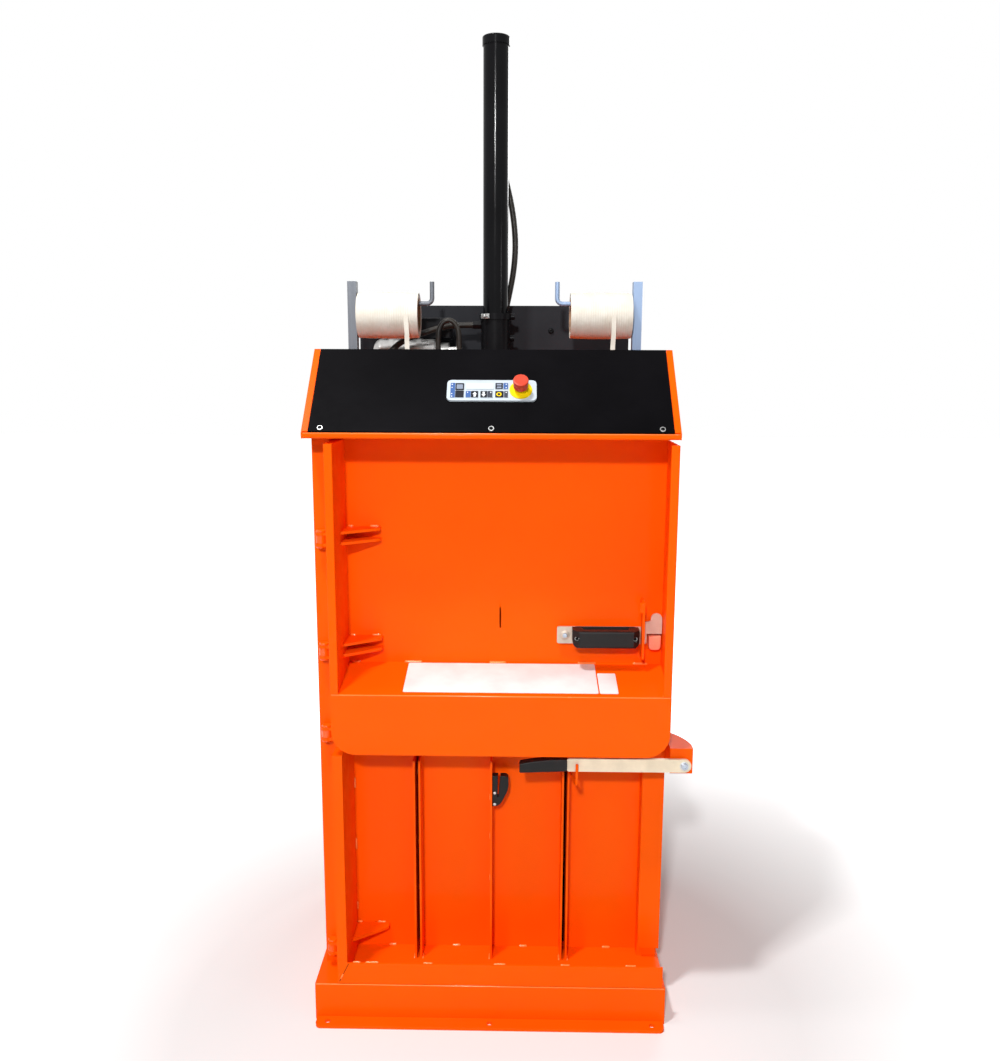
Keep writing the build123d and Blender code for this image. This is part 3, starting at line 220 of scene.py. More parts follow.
def moulded(name, colour, rough=(0.42, 0.6), grain=900.0, depth=0.2, gloss=0.4):
    """Moulded plastic with a fine spark-eroded skin."""
    material, tree, shader, place = new_finish(name)
    darker = tuple(c * 0.86 for c in colour)
    clouded_colour(tree, shader, place, 14.0, 3.0, colour, darker)
    uneven_gloss(tree, shader, place, 60.0, 3.0, rough)
    shader.inputs["Specular IOR Level"].default_value = gloss
    skin = noise(tree, place, scale=grain, detail=2.0)
    raise_surface(tree, shader, skin, strength=depth, distance=0.0004)
    return material


def printed_film(name, colour, gloss=0.1):
    """The smooth film of the keypad, in one colour."""
    return moulded(name, colour, rough=(0.4, 0.5), grain=300.0, depth=0.04, gloss=gloss)


def rubber_hose(name):
    """Hydraulic hose cover: black rubber with the faint print of its cloth wrap."""
    material, tree, shader, place = new_finish(name)
    clouded_colour(tree, shader, place, 18.0, 4.0, (0.010, 0.009, 0.008), (0.026, 0.021, 0.016))
    uneven_gloss(tree, shader, place, 60.0, 3.0, (0.32, 0.5))
    shader.inputs["Specular IOR Level"].default_value = 0.2
    raise_surface(tree, shader, cells(tree, place, 620.0), strength=0.3, distance=0.0006)
    return material


def wound_strap(name):
    """White woven strap: fine cords along the strap, and a little dust."""
    material, tree, shader, place = new_finish(name)
    cords = tree.nodes.new("ShaderNodeTexWave")
    cords.wave_type = "BANDS"
    cords.bands_direction = "X"
    cords.inputs["Scale"].default_value = 190.0
    cords.inputs["Distortion"].default_value = 0.6
    cords.inputs["Detail"].default_value = 2.0
    tree.links.new(place, cords.inputs["Vector"])
    dust = spread(tree, noise(tree, place, scale=30.0, detail=5.0), 0.0, 1.0)
    ground = between(tree, dust, (0.84, 0.79, 0.71), (0.76, 0.69, 0.59))
    shade = tree.nodes.new("ShaderNodeMix")
    shade.data_type = "RGBA"
    shade.blend_type = "MULTIPLY"
    shade.inputs["Factor"].default_value = 0.10
    tree.links.new(ground, shade.inputs["A"])
    tree.links.new(cords.outputs["Color"], shade.inputs["B"])
    tree.links.new(shade.outputs["Result"], shader.inputs["Base Color"])
    shader.inputs["Roughness"].default_value = 0.62
    shader.inputs["Specular IOR Level"].default_value = 0.1
    raise_surface(tree, shader, cords.outputs["Fac"], strength=0.35, distance=0.0006)
    return material


def card(name):
    """Card core with a fine fibre."""
    material, tree, shader, place = new_finish(name)
    fibre = noise(tree, stretched(tree, place, (30.0, 260.0, 260.0)), scale=1.0, detail=4.0)
    shade = spread(tree, fibre, 0.0, 1.0)
    colour = between(tree, shade, (0.42, 0.24, 0.13), (0.30, 0.16, 0.09))
    tree.links.new(colour, shader.inputs["Base Color"])
    shader.inputs["Roughness"].default_value = 0.85
    raise_surface(tree, shader, fibre, strength=0.4, distance=0.0008)
    return material


def chrome_rod(name):
    """Ground and hard-chromed rod."""
    material, tree, shader, place = new_finish(name)
    rings = noise(tree, stretched(tree, place, (20.0, 20.0, 900.0)), scale=1.0, detail=2.0)
    tree.links.new(spread(tree, rings, 0.08, 0.18), shader.inputs["Roughness"])
    colour = between(tree, rings, (0.86, 0.86, 0.87), (0.74, 0.74, 0.76))
    tree.links.new(colour, shader.inputs["Base Color"])
    shader.inputs["Metallic"].default_value = 1.0
    return material


def lit_digits(name):
    """Pale display window with faint red segments behind it."""
    material, tree, shader, place = new_finish(name)
    marks = cells(tree, stretched(tree, place, (1.0, 0.35, 0.35)), 95.0)
    red = spread(tree, marks, 1.0, 0.0, from_low=0.05, from_high=0.16)
    colour = between(tree, red, (0.56, 0.62, 0.68), (0.64, 0.38, 0.34))
    tree.links.new(colour, shader.inputs["Base Color"])
    shader.inputs["Roughness"].default_value = 0.2
    return material


across_grain = (8.0, 200.0, 200.0)
finishes = {
    "orange_paint": orange_coat("orange powder coat"),
    "chamber_steel": bare_steel("chamber floor steel", (0.40, 0.38, 0.36), (0.4, 0.6),
                                grain=(40.0, 40.0, 40.0)),
    "black_cover": black_coat("hood cover black", (0.0026, 0.0024, 0.0029), (0.36, 0.48),
                              grain=520.0, gloss=0.012),
    "black_steel": black_coat("press and drive black", (0.0045, 0.0045, 0.0052), (0.24, 0.36),
                              grain=700.0, gloss=0.06),
    "keypad_face": printed_film("keypad face", (0.52, 0.58, 0.63), gloss=0.2),
    "key_film": printed_film("key film", (0.52, 0.58, 0.63), gloss=0.2),
    "signal_yellow": moulded("stop disc yellow", (0.90, 0.64, 0.004), depth=0.1, gloss=0.1),
    "signal_red": moulded("stop button red", (0.62, 0.052, 0.020), (0.3, 0.42), depth=0.03,
                          gloss=0.3),
    "zinc_steel": bare_steel("zinc plate", (0.60, 0.60, 0.59)),
    "bracket_steel": bare_steel("bracket steel", (0.19, 0.23, 0.31), (0.4, 0.6),
                                grain=(200.0, 200.0, 8.0), metal=0.3),
    "strap_white": wound_strap("wound strap"),
    "core_card": card("card core"),
    "motor_alloy": cast_alloy("motor alloy"),
    "hose_rubber": rubber_hose("hose rubber"),
    "rod_chrome": chrome_rod("chromed rod"),
    "beige_steel": bare_steel("latch steel", (0.80, 0.69, 0.51), (0.36, 0.5),
                              grain=across_grain, metal=0.25),
    "grip_black": moulded("grip black", (0.010, 0.0092, 0.0092), (0.34, 0.5), gloss=0.2),
}
key_blue = printed_film("key blue", (0.060, 0.130, 0.340))
key_dark = printed_film("key dark", (0.012, 0.013, 0.019))
key_grey = printed_film("key grey", (0.055, 0.060, 0.080))
key_white = printed_film("key white", (0.82, 0.84, 0.86))
key_pale = printed_film("key pale", (0.24, 0.28, 0.36))
display_window = lit_digits("display window")
# Paler, glossier orange for the welds and folds: its lighter colour is a painted highlight
highlight_coat = orange_coat("weld and fold painted highlight", (0.98, 0.26, 0.045), (0.96, 0.17, 0.015),
                         gloss=0.5, rough=(0.16, 0.28))
plate_white = moulded("white plate", (0.84, 0.84, 0.83), (0.38, 0.5), grain=300.0, depth=0.03,
                      gloss=0.2)
seam_shade = orange_coat("dark seam", (0.20, 0.018, 0.0005), (0.16, 0.014, 0.0004))
hinge_gloss = orange_coat("hinge powder coat", coat=0.7, rough=(0.3, 0.4))
column_black = black_coat("column black", (0.0032, 0.0032, 0.0037), (0.10, 0.16),
                          grain=700.0, gloss=0.08)
cover_sheet = black_coat("rear cover black", (0.016, 0.0165, 0.019), (0.5, 0.62),
                         grain=520.0, gloss=0.04)
# The keeper's salmon colour paints in the orange that its bare metal reflects
keeper_reflection_tint = orange_coat("keeper painted reflection", (0.90, 0.36, 0.24), (0.84, 0.26, 0.15),
                           gloss=0.4, rough=(0.25, 0.4))
panel_steel = bare_steel("latch plate steel", (0.60, 0.50, 0.41), (0.36, 0.5),
                         grain=across_grain, metal=0.35)
bolt_zinc = bare_steel("bolt zinc", (0.42, 0.46, 0.53), (0.22, 0.36))

# Painted reflection: the left bracket is greyer and the right one bluer, over 0.2 m about the
# middle, for the bluish light that the right one reflects
bracket = finishes["bracket_steel"].node_tree
bracket_place = bracket.nodes["Texture Coordinate"].outputs["Object"]
bracket_sides = bracket.nodes.new("ShaderNodeSeparateXYZ")
bracket.links.new(bracket_place, bracket_sides.inputs["Vector"])
bracket_reflection_mask = spread(bracket, bracket_sides.outputs["X"], 0.0, 1.0, from_low=-0.1, from_high=0.1)
bracket_reflection_colour = between(bracket, bracket_reflection_mask, (0.125, 0.135, 0.155), (0.25, 0.34, 0.50))
bracket.links.new(bracket_reflection_colour, bracket.nodes["Principled BSDF"].inputs["Base Color"])

own_finish = {
    "cylinder_tube": column_black,
    "rear_cover": cover_sheet,
    "latch_bar": panel_steel,
    "hinge_pins": hinge_gloss,
    "hinge_lugs": hinge_gloss,
}
for node_name, node in nodes.items():
    node.data.materials.clear()
    node.data.materials.append(own_finish.get(node_name, finishes[slots[node_name]]))


# Camera, as the photograph was taken
camera_place = (0.0618, -2.3103, 1.6672)
camera_right = Vector((0.99982, 0.01844, 0.00358)).normalized()
camera_back = Vector((0.01755, -0.98512, 0.17099)).normalized()
camera_up = camera_back.cross(camera_right).normalized()
camera_turn = Matrix((camera_right, camera_up, camera_back)).transposed().to_4x4()
camera = bpy.data.objects.new("camera", bpy.data.cameras.new("camera"))
bpy.context.collection.objects.link(camera)
camera.data.sensor_width = 36.0
camera.data.sensor_fit = "HORIZONTAL"
camera.data.lens = 34.48
camera.data.clip_end = 100.0
camera.matrix_world = Matrix.Translation(camera_place) @ camera_turn
bpy.context.scene.camera = camera


# Hoses

def hydraulic_hose(node, points, radius):
    """A bent hose in place of the CAD solid, along a middle line given in millimetres."""
    line = bpy.data.curves.new(node + "_line", "CURVE")
    line.dimensions = "3D"
    line.bevel_depth = radius
    line.bevel_resolution = 6
    line.resolution_u = 16
    line.use_fill_caps = True
    run = line.splines.new("NURBS")
    run.points.add(len(points) - 1)
    for spot, (x, y, z) in zip(run.points, points):
        spot.co = (x / 1000, y / 1000, z / 1000, 1)
    run.order_u = 3
    run.use_endpoint_u = True
    piece = bpy.data.objects.new(node + "_rubber", line)
    bpy.context.collection.objects.link(piece)
    line.materials.append(finishes["hose_rubber"])
    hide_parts(node)
    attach(piece, "frame")


hydraulic_hose(
    "pressure_hose",
    ((0, 393.5, 2420), (0, 393.5, 2347), (9, 402, 2252.1), (22, 396, 2171.8), (44, 386, 2084.2),
     (54, 380, 1996.6), (50, 381, 1923.6), (36, 388, 1850.6), (22, 400, 1792.2), (15, 405, 1741.1),
     (15, 405, 1690)),
    radius=0.008,
)
hydraulic_hose(
    "side_hose",
    ((-61, 350, 1772), (-100, 350, 1772), (-150, 343, 1765), (-200, 331, 1748), (-246, 318, 1732),
     (-282, 306, 1700), (-302, 299, 1668), (-302, 299, 1632)),
    radius=0.008,
)

# The loop rises from one union on the deck and comes down on the other, millimetres
loop_middle, loop_half_width = -124, 28
loop_y, loop_sway = 298, 2
loop_foot, loop_leg, loop_shoulder, loop_rise = 1632, 1690, 1741, 42
loop_left, loop_right = loop_middle - loop_half_width, loop_middle + loop_half_width
loop_arch = [
    (loop_middle - loop_half_width * math.cos(lean), loop_y + loop_sway * math.sin(lean),
     loop_shoulder + loop_rise * math.sin(lean))
    for lean in (math.radians(22.5 * step) for step in range(9))
]
hydraulic_hose(
    "loop_hose",
    ((loop_left, loop_y, loop_foot), (loop_left, loop_y, loop_leg), *loop_arch,
     (loop_right, loop_y, loop_leg), (loop_right, loop_y, loop_foot)),
    radius=0.007,
)


# Ways of working that several pieces share

def take(piece):
    """Selects one piece alone and makes it the active one."""
    bpy.ops.object.select_all(action="DESELECT")
    piece.select_set(True)
    bpy.context.view_layer.objects.active = piece


def settle(piece, name, body, slot, finish=None, smooth=35.0):
    """Puts the piece's place into its mesh, smooths it, and hangs it on its body."""
    take(piece)
    bpy.ops.object.transform_apply(location=True, rotation=True, scale=True)
    bpy.ops.object.shade_smooth_by_angle(angle=math.radians(smooth))
    piece.name = name
    piece.data.name = name
    piece.data.materials.clear()
    piece.data.materials.append(finish or finishes[slot])
    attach(piece, body)
    bpy.ops.object.select_all(action="DESELECT")


def pick(piece, kind, test):
    """In edit mode, selects the piece's faces or edges that pass the test."""
    bpy.ops.mesh.select_mode(type=kind)
    bpy.ops.mesh.select_all(action="DESELECT")
    shape = bmesh.from_edit_mesh(piece.data)
    for element in shape.faces if kind == "FACE" else shape.edges:
        if test(element):
            element.select_set(True)
    bmesh.update_edit_mesh(piece.data)


def thicken(piece, thickness, offset=1.0):
    """Gives the active sheet its thickness, on the side that its faces look to."""
    wall = piece.modifiers.new("wall", "SOLIDIFY")
    wall.thickness = thickness
    wall.offset = offset
    bpy.ops.object.modifier_apply(modifier="wall")


def turned(profile, place, towards=(0, 0, 1), around=48, closed=False):
    """A round piece drawn out of a circle, ring by ring; profile gives height and radius."""
    axis = Vector(towards).normalized()
    facing = axis.to_track_quat("Z", "Y")
    height, radius = profile[0]
    centre = Vector(place) + axis * height
    bpy.ops.mesh.primitive_circle_add(
        vertices=around, radius=radius, fill_type="NOTHING",
        location=centre, rotation=facing.to_euler(),
    )
    piece = bpy.context.object
    bpy.ops.object.mode_set(mode="EDIT")
    bpy.ops.mesh.select_all(action="SELECT")
    if not closed:
        bpy.ops.mesh.edge_face_add()
    for next_height, next_radius in profile[1:]:
        step = axis * (next_height - height)
        bpy.ops.mesh.extrude_region_move(TRANSFORM_OT_translate={"value": tuple(step)})
        centre = centre + step
        grow = next_radius / radius
        bpy.ops.transform.resize(value=(grow, grow, grow), center_override=tuple(centre))
        height, radius = next_height, next_radius
    bpy.ops.mesh.select_all(action="SELECT")
    bpy.ops.mesh.remove_doubles(threshold=0.00001)
    bpy.ops.mesh.normals_make_consistent(inside=False)
    bpy.ops.object.mode_set(mode="OBJECT")
    return piece


def joined(pieces):
    """Several pieces of one finish made one."""
    bpy.ops.object.select_all(action="DESELECT")
    for piece in pieces:
        piece.select_set(True)
    bpy.context.view_layer.objects.active = pieces[0]
    bpy.ops.object.join()
    return bpy.context.object


def plate(width, height, thickness, corner, place, rotation=(0, 0, 0), soften=0.0003):
    """A sheet with round corners, its lower face on place."""
    bpy.ops.mesh.primitive_plane_add(size=1, location=place, rotation=rotation)
    piece = bpy.context.object
    piece.scale = (width, height, 1)
    take(piece)
    bpy.ops.object.transform_apply(location=False, rotation=False, scale=True)
    bpy.ops.object.mode_set(mode="EDIT")
    bpy.ops.mesh.select_all(action="SELECT")
    bpy.ops.mesh.bevel(offset=corner, segments=5, affect="VERTICES")
    bpy.ops.mesh.select_all(action="SELECT")
    bpy.ops.mesh.normals_make_consistent(inside=False)
    bpy.ops.object.mode_set(mode="OBJECT")
    thicken(piece, thickness)
    if soften:
        edge = piece.modifiers.new("edge", "BEVEL")
        edge.width = soften
        edge.segments = 2
        edge.limit_method = "ANGLE"
        edge.angle_limit = math.radians(50)
        bpy.ops.object.modifier_apply(modifier="edge")
    return piece


# Strap rolls

def strap_roll(side, body):
    """Flat woven strap wound in turns that stand a little proud of each other."""
    node = "strap_roll_" + side
    low, high = corners(node)
    middle = (low + high) / 2
    half = (high.x - low.x) / 2
    radius = (high.z - low.z) / 2
    bore = radius * 0.7
    turns, shoulder, shoulder_steps = 24, 0.007, 6
    end_radius = radius - 0.0014
    belly_rise = 0.0016

    profile = [(-half + 0.004, bore), (-half + 0.0015, bore + 0.002)]
    for share, sink in ((0.2, 0.0006), (0.35, 0.0), (0.5, 0.0008), (0.66, 0.0002)):
        profile.append((-half + sink, bore + (radius - bore) * share))
    for step in range(shoulder_steps):
        lean = math.radians(90 * (step + 0.5) / shoulder_steps)
        inset = shoulder * (1 - math.sin(lean))
        last = step == shoulder_steps - 1
        drop = inset if last else shoulder * math.cos(lean) * 0.9
        profile.append((-half + inset, end_radius - drop))
    end_profile = [(-height, ring) for height, ring in profile]
    for turn in range(turns):
        for across, dip in ((0.06, 0.0004), (0.3, 0.0), (0.7, 0.0), (0.94, 0.0004)):
            along = -half + shoulder + (2 * half - 2 * shoulder) * (turn + across) / turns
            belly = belly_rise * (1 - (along / half) ** 2)
            profile.append((along, end_radius + belly - dip))
    profile += end_profile[::-1]
    profile.append(profile[0])

    piece = turned(profile, middle, (1, 0, 0), around=96, closed=True)
    settle(piece, node + "_wound", body, "strap_white", smooth=50.0)
    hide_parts(node)


strap_roll("left", "left_roll")
strap_roll("right", "right_roll")


def strap_tail(x, lean, low, high):
    """Flat strap that leaves the roll and hangs to the deck with a slight curl."""
    width, first_drop, thickness, steps = 0.012, 0.002, 0.0008, 14
    sway_by, curl_by = 0.0006, 0.0007
    middle = (low.y + high.y) / 2
    bpy.ops.mesh.primitive_plane_add(size=1, location=(x, middle, high.z), rotation=upright)
    piece = bpy.context.object
    take(piece)
    piece.scale = (width, first_drop, 1)
    bpy.ops.object.transform_apply(location=False, rotation=True, scale=True)
    bpy.ops.object.mode_set(mode="EDIT")
    pick(piece, "EDGE", lambda edge: all(corner.co.z < 0 for corner in edge.verts))
    drop = (high.z - low.z - first_drop) / steps
    for step in range(steps):
        sway = lean / steps + sway_by * math.sin(step * 1.1)
        curl = curl_by * math.cos(step * 0.9) if step > 2 else 0.0
        bpy.ops.mesh.extrude_region_move(TRANSFORM_OT_translate={"value": (sway, -curl, -drop)})
    bpy.ops.object.mode_set(mode="OBJECT")
    thicken(piece, thickness, offset=-1.0)
    return piece


tail_low, tail_high = corners("strap_tails")
tails = joined([
    strap_tail(tail_low.x + 0.006, 0.006, tail_low, tail_high),
    strap_tail(tail_high.x - 0.006, -0.004, tail_low, tail_high),
])
settle(tails, "strap_tails_woven", "frame", "strap_white", smooth=60.0)
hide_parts("strap_tails")


# Emergency stop head: tall moulded cap with a crisp rim and a grooved skirt
head_gap = 0.0005
head_low = estop_disc_thickness + estop_collar_height + estop_travel + head_gap
skirt, groove = 0.0176, 0.0171
head_profile = [(head_low, 0.0150), (head_low, 0.0172), (head_low + 0.0010, skirt)]
for ring in range(4):
    base = head_low + 0.002 + ring * 0.0022
    head_profile += [(base, skirt), (base + 0.0004, groove), (base + 0.0012, groove),
                     (base + 0.0016, skirt)]
head_profile += [(head_low + rise, radius) for rise, radius in (
    (0.0160, 0.0181), (0.0205, 0.0184), (0.0222, 0.0178), (0.0229, 0.0166), (0.0230, 0.0150),
    (0.0226, 0.0080), (0.0226, 0.0004),
)]
stop_place = on_slope(estop_x, keypad_along, keypad_thickness)
stop_head = turned(head_profile, stop_place, slope_out, around=64)
settle(stop_head, "stop_head", "estop", "signal_red", smooth=40.0)
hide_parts("estop_button")


# Keypad: windows, keys in several colours, and signs and lamp dots on them
film = 0.0003


def on_keypad(x, along, level=0.0):
    """A point on the keys: across, up the slope from the keypad's middle, and above them."""
    return on_slope(x, keypad_along + along, key_level + level)


def key_patch(name, x, along, width, height, finish, level=0.0, corner=0.0016):
    """A coloured rectangle with round corners."""
    place = on_keypad(x, along, level)
    piece = plate(width, height, film, corner, place, (slope_angle, 0, 0), soften=0.0)
    settle(piece, name, "frame", "key_film", finish)


def key_sign(name, points, x, along, finish):
    """A flat sign on a key, cut to the given outline."""
    outline = bpy.data.meshes.new(name)
    outline.from_pydata([(px, py, 0.0) for px, py in points], [], [tuple(range(len(points)))])
    piece = bpy.data.objects.new(name, outline)
    bpy.context.collection.objects.link(piece)
    piece.location = on_keypad(x, along, film)
    piece.rotation_euler = (slope_angle, 0, 0)
    take(piece)
    thicken(piece, 0.0002)
    settle(piece, name, "frame", "key_film", finish)


def arrow(size, way):
    """Outline of a block arrow that points up or down."""
    shaft, head, tip = size * 0.2, size * 0.42, size * 0.62
    points = [(-shaft, -tip), (shaft, -tip), (shaft, 0.0), (head, 0.0), (0.0, tip), (-head, 0.0),
              (-shaft, 0.0)]
    return [(px, py * way) for px, py in points][::way]


for patch in (
    ("key_left_strip", -0.0925, -0.0015, 0.0110, 0.0460, key_blue),
    ("key_left_upper", -0.0762, 0.0095, 0.0205, 0.0225, key_dark),
    ("key_left_lower", -0.0762, -0.0135, 0.0205, 0.0215, key_dark),
    ("key_left_window", -0.0762, 0.0095, 0.0150, 0.0140, key_pale, film),
    ("display_strip", -0.0285, 0.0120, 0.0660, 0.0190, display_window),
    ("key_raise_lamp", -0.0555, -0.0140, 0.0120, 0.0200, key_blue),
    ("key_raise", -0.0405, -0.0140, 0.0170, 0.0200, key_dark),
    ("key_lower", -0.0185, -0.0140, 0.0160, 0.0200, key_dark),
    ("key_lower_lamp", -0.0040, -0.0140, 0.0120, 0.0200, key_grey),
    ("key_upper_right", 0.0175, 0.0120, 0.0180, 0.0190, key_dark),
    ("key_upper_right_lamp", 0.0330, 0.0120, 0.0110, 0.0190, key_blue),
    ("key_upper_window", 0.0175, 0.0160, 0.0110, 0.0050, key_pale, film, 0.0005),
    ("key_lower_window", 0.0175, 0.0075, 0.0110, 0.0050, key_pale, film, 0.0005),
    ("key_start", 0.0185, -0.0140, 0.0200, 0.0200, key_dark),
    ("key_start_lamp", 0.0340, -0.0140, 0.0090, 0.0200, key_grey),
):
    key_patch(*patch)
key_sign("sign_raise", arrow(0.0125, 1), -0.0400, -0.014, key_white)
key_sign("sign_lower", arrow(0.0125, -1), -0.0190, -0.014, key_white)

lamp_profile = [(0.0, 0.0016), (0.0004, 0.0015), (0.0007, 0.0009), (0.0008, 0.0002)]
lamp_spots = (
    (-0.0945, 0.0165), (-0.0945, 0.0070), (-0.0945, -0.0125), (-0.0945, -0.0205),
    (-0.0570, -0.0085), (-0.0020, -0.0085),
    (0.0345, 0.0170), (0.0345, 0.0065), (0.0345, -0.0085),
)
for spot, (x, along) in enumerate(lamp_spots):
    lamp_dot = turned(lamp_profile, on_keypad(x, along, film), slope_out, around=16)
    settle(lamp_dot, "key_lamp_%d" % spot, "frame", "key_film", key_white)
ring_profile = [(0.0, 0.0036), (film, 0.0037), (film, 0.0062), (0.0, 0.0063), (0.0, 0.0036)]
start_ring = turned(ring_profile, on_keypad(0.0175, -0.014, film), slope_out, around=40,
                    closed=True)
settle(start_ring, "sign_start", "frame", "signal_yellow")


# Screws and bolts

def button_head(name, body, slot, place, towards, radius, height=None):
    """A rounded screw head with a socket."""
    rise = height or radius * 0.55
    profile = [(rise * up, radius * ring) for up, ring in (
        (0.0, 1.0), (0.25, 1.0), (0.6, 0.93), (0.88, 0.78), (1.0, 0.6), (1.0, 0.42), (0.35, 0.38),
        (0.3, 0.02),
    )]
    settle(turned(profile, place, towards, around=24), name, body, slot, smooth=30.0)


def rimmed_screw(name, body, place, towards, radius):
    """A dark countersunk screw inside a thin bright washer."""
    rim_profile = [(radius * up, radius * ring) for up, ring in (
        (0.0, 1.0), (0.16, 0.99), (0.3, 0.9), (0.3, 0.74), (0.0, 0.70), (0.0, 1.0),
    )]
    rim = turned(rim_profile, place, towards, around=32, closed=True)
    settle(rim, name + "_rim", body, "zinc_steel", smooth=40.0)
    button_head(name, body, "black_steel", place, towards, radius * 0.69, radius * 0.26)


for spot, x in enumerate((-0.397, 0.001, 0.397)):
    rimmed_screw("hood_screw_%d" % spot, "frame", on_slope(x, 0.014), slope_out,
                 radius=0.0070)
grip_low, grip_high = corners("latch_grip")
grip_middle = (grip_low.z + grip_high.z) / 2
grip_screw_inset, grip_screw_depth = 0.011, 0.016
for spot, x in enumerate((grip_low.x + grip_screw_inset, grip_high.x - grip_screw_inset)):
    rimmed_screw("latch_grip_screw_%d" % spot, "upper_latch",
                 (x, grip_low.y + grip_screw_depth, grip_middle), to_front, radius=0.0060)
hook_low = corners("strap_hook")[0]
for spot, z in enumerate((0.5445, 0.5755)):
    button_head("strap_hook_screw_%d" % spot, "lower_door", "zinc_steel",
                (hook_low.x + 0.0065, hook_low.y, z), to_front, radius=0.0042)
rear_cover_front = 0.440
for spot, (x, z) in enumerate(((0.154, 1.760), (-0.2255, 1.8028), (0.340, 1.700), (-0.350, 1.700))):
    button_head("rear_cover_bolt_%d" % spot, "frame", "black_steel", (x, rear_cover_front, z),
                to_front, radius=0.008)


def hexagon_bolt(node, body, seat, washer, head, washer_finish):
    """A hexagon head on a washer in place of the CAD bolt; seat is the bearing face's centre."""
    washer_profile = [(0.0, 0.0004), (0.0, washer), (0.0012, washer), (0.0016, washer * 0.96),
                      (0.0016, 0.0004)]
    disc = turned(washer_profile, seat, to_front, around=40)
    settle(disc, node + "_washer", body, slots[node], washer_finish, smooth=40.0)
    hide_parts(node)
    head_profile = [(0.0016, head), (0.0058, head), (0.0066, head * 0.93), (0.0070, head * 0.80),
                    (0.0070, head * 0.45), (0.0060, head * 0.40), (0.0060, 0.0004)]
    cap = turned(head_profile, seat, to_front, around=6)
    settle(cap, node + "_head", body, slots[node], bolt_zinc, smooth=20.0)
    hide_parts(node)


hexagon_bolt("latch_pivot", "upper_door", (0.186, 0.052, 0.988), washer=0.0120, head=0.0068,
             washer_finish=panel_steel)
hexagon_bolt("lever_bolt", "lower_door", (0.480, -0.070, 0.690), washer=0.0118, head=0.0090,
             washer_finish=finishes["zinc_steel"])


# Painted highlights: fine pale lines on the folds, a paler orange for the light that they catch,
# and the dark seam of the sill's mitre

def fold_line(name, body, start, end, radius, finish=highlight_coat):
    """A thin round line between two points, with blunted ends."""
    start, end = Vector(start), Vector(end)
    run = end - start
    profile = [(0.0, radius * 0.5), (radius * 0.5, radius), (run.length - radius * 0.5, radius),
               (run.length, radius * 0.5)]
    settle(turned(profile, start, run, around=16), name, body, "orange_paint", finish, 60.0)


fold_y, plinth_fold_y, seam_y = -0.0955, -0.0963, -0.0968
fold_line("shelf_fold", "upper_door", (-0.387, fold_y, 0.8745), (0.436, fold_y, 0.8745),
          radius=0.0017)
fold_line("sill_fold", "lower_door", (-0.386, fold_y, 0.1575), (0.386, fold_y, 0.1575),
          radius=0.0012)
fold_line("hood_fold", "frame", (-0.4365, fold_y, 1.5085), (0.4365, fold_y, 1.5085),
          radius=0.0012)
fold_line("plinth_fold", "frame", (-0.446, plinth_fold_y, 0.0986), (0.446, plinth_fold_y, 0.0986),
          radius=0.0015)
fold_line("mitre_seam", "lower_door", (-0.3600, seam_y, 0.1580), (-0.3845, seam_y, 0.1080),
          radius=0.0009, finish=seam_shade)


# White plates without any print, on the shelf

def shelf_plate(name, x_low, x_high, y_low, y_high):
    """A thin plate that lies on the sloping shelf, seen from above as the given rectangle."""
    run = (y_high - y_low) / math.cos(shelf_angle)
    middle = on_shelf((x_low + x_high) / 2, (y_low + y_high) / 2)
    piece = plate(x_high - x_low, run, thickness=0.0012, corner=0.004,
                  place=middle + Vector((0, 0, 0.0001)), rotation=(shelf_angle, 0, 0))
    settle(piece, name, "upper_door", "keypad_face", plate_white)


shelf_plate("shelf_plate_large", -0.214, 0.2635, -0.082, 0.062)
shelf_plate("shelf_plate_small", 0.2665, 0.312, -0.082, 0.016)


# Welds: short beads of overlapping ripples, painted over, in a paler orange that paints in their
# highlights

def weld_bead(name, body, start, end, radius):
    """One bead between two points, with thinner ends."""
    start, end = Vector(start), Vector(end)
    run = end - start
    ripple = 0.0034
    steps = max(4, round(run.length / ripple))
    taper = run.length / steps * 0.2
    profile = [(0.0, radius * 0.25), (taper, radius * 0.75)]
    for step in range(1, steps):
        profile.append((run.length * step / steps, radius * (1.04 if step % 2 else 0.84)))
    profile += [(run.length - taper, radius * 0.75), (run.length, radius * 0.25)]
    settle(turned(profile, start, run, around=12), name, body, "orange_paint", highlight_coat, 70.0)


def bead_across(name, body, x_low, x_high, y, z, radius):
    """A bead that runs from left to right."""
    weld_bead(name, body, (x_low, y, z), (x_high, y, z), radius)


panel_bead_y = 0.0665
lip_bead_y = -0.0925
shelf_bead_z, sill_bead_z, lip_bead_z = 0.9090, 0.1075, 0.1595
shelf_welds = ((-0.226, -0.180), (-0.007, 0.036), (0.220, 0.268), (0.362, 0.400), (-0.362, -0.340))
sill_welds = ((-0.278, -0.258), (-0.106, -0.084), (0.075, 0.097), (0.300, 0.322))
lip_welds = ((-0.350, -0.330), (-0.318, -0.284), (-0.170, -0.146), (0.010, 0.040), (0.180, 0.204),
             (0.345, 0.372))
for spot, (x_low, x_high) in enumerate(shelf_welds):
    bead_across("shelf_weld_%d" % spot, "upper_door", x_low, x_high, panel_bead_y, shelf_bead_z,
                radius=0.0042)

hinge_half_height, strap_bead_rise = 0.0135, 0.0045
for label, hinge_z, body in (("upper_0_2", 1.246, "upper_door"), ("upper_1_2", 0.962, "upper_door"),
                             ("lower", 0.156, "lower_door")):
    strap_z = hinge_z + hinge_half_height + strap_bead_rise
    for part, (x_low, x_high) in enumerate(((-0.364, -0.350), (-0.309, -0.286))):
        bead_across("hinge_strap_weld_%s_%d" % (label, part), body, x_low, x_high, panel_bead_y,
                    strap_z, radius=0.0036)

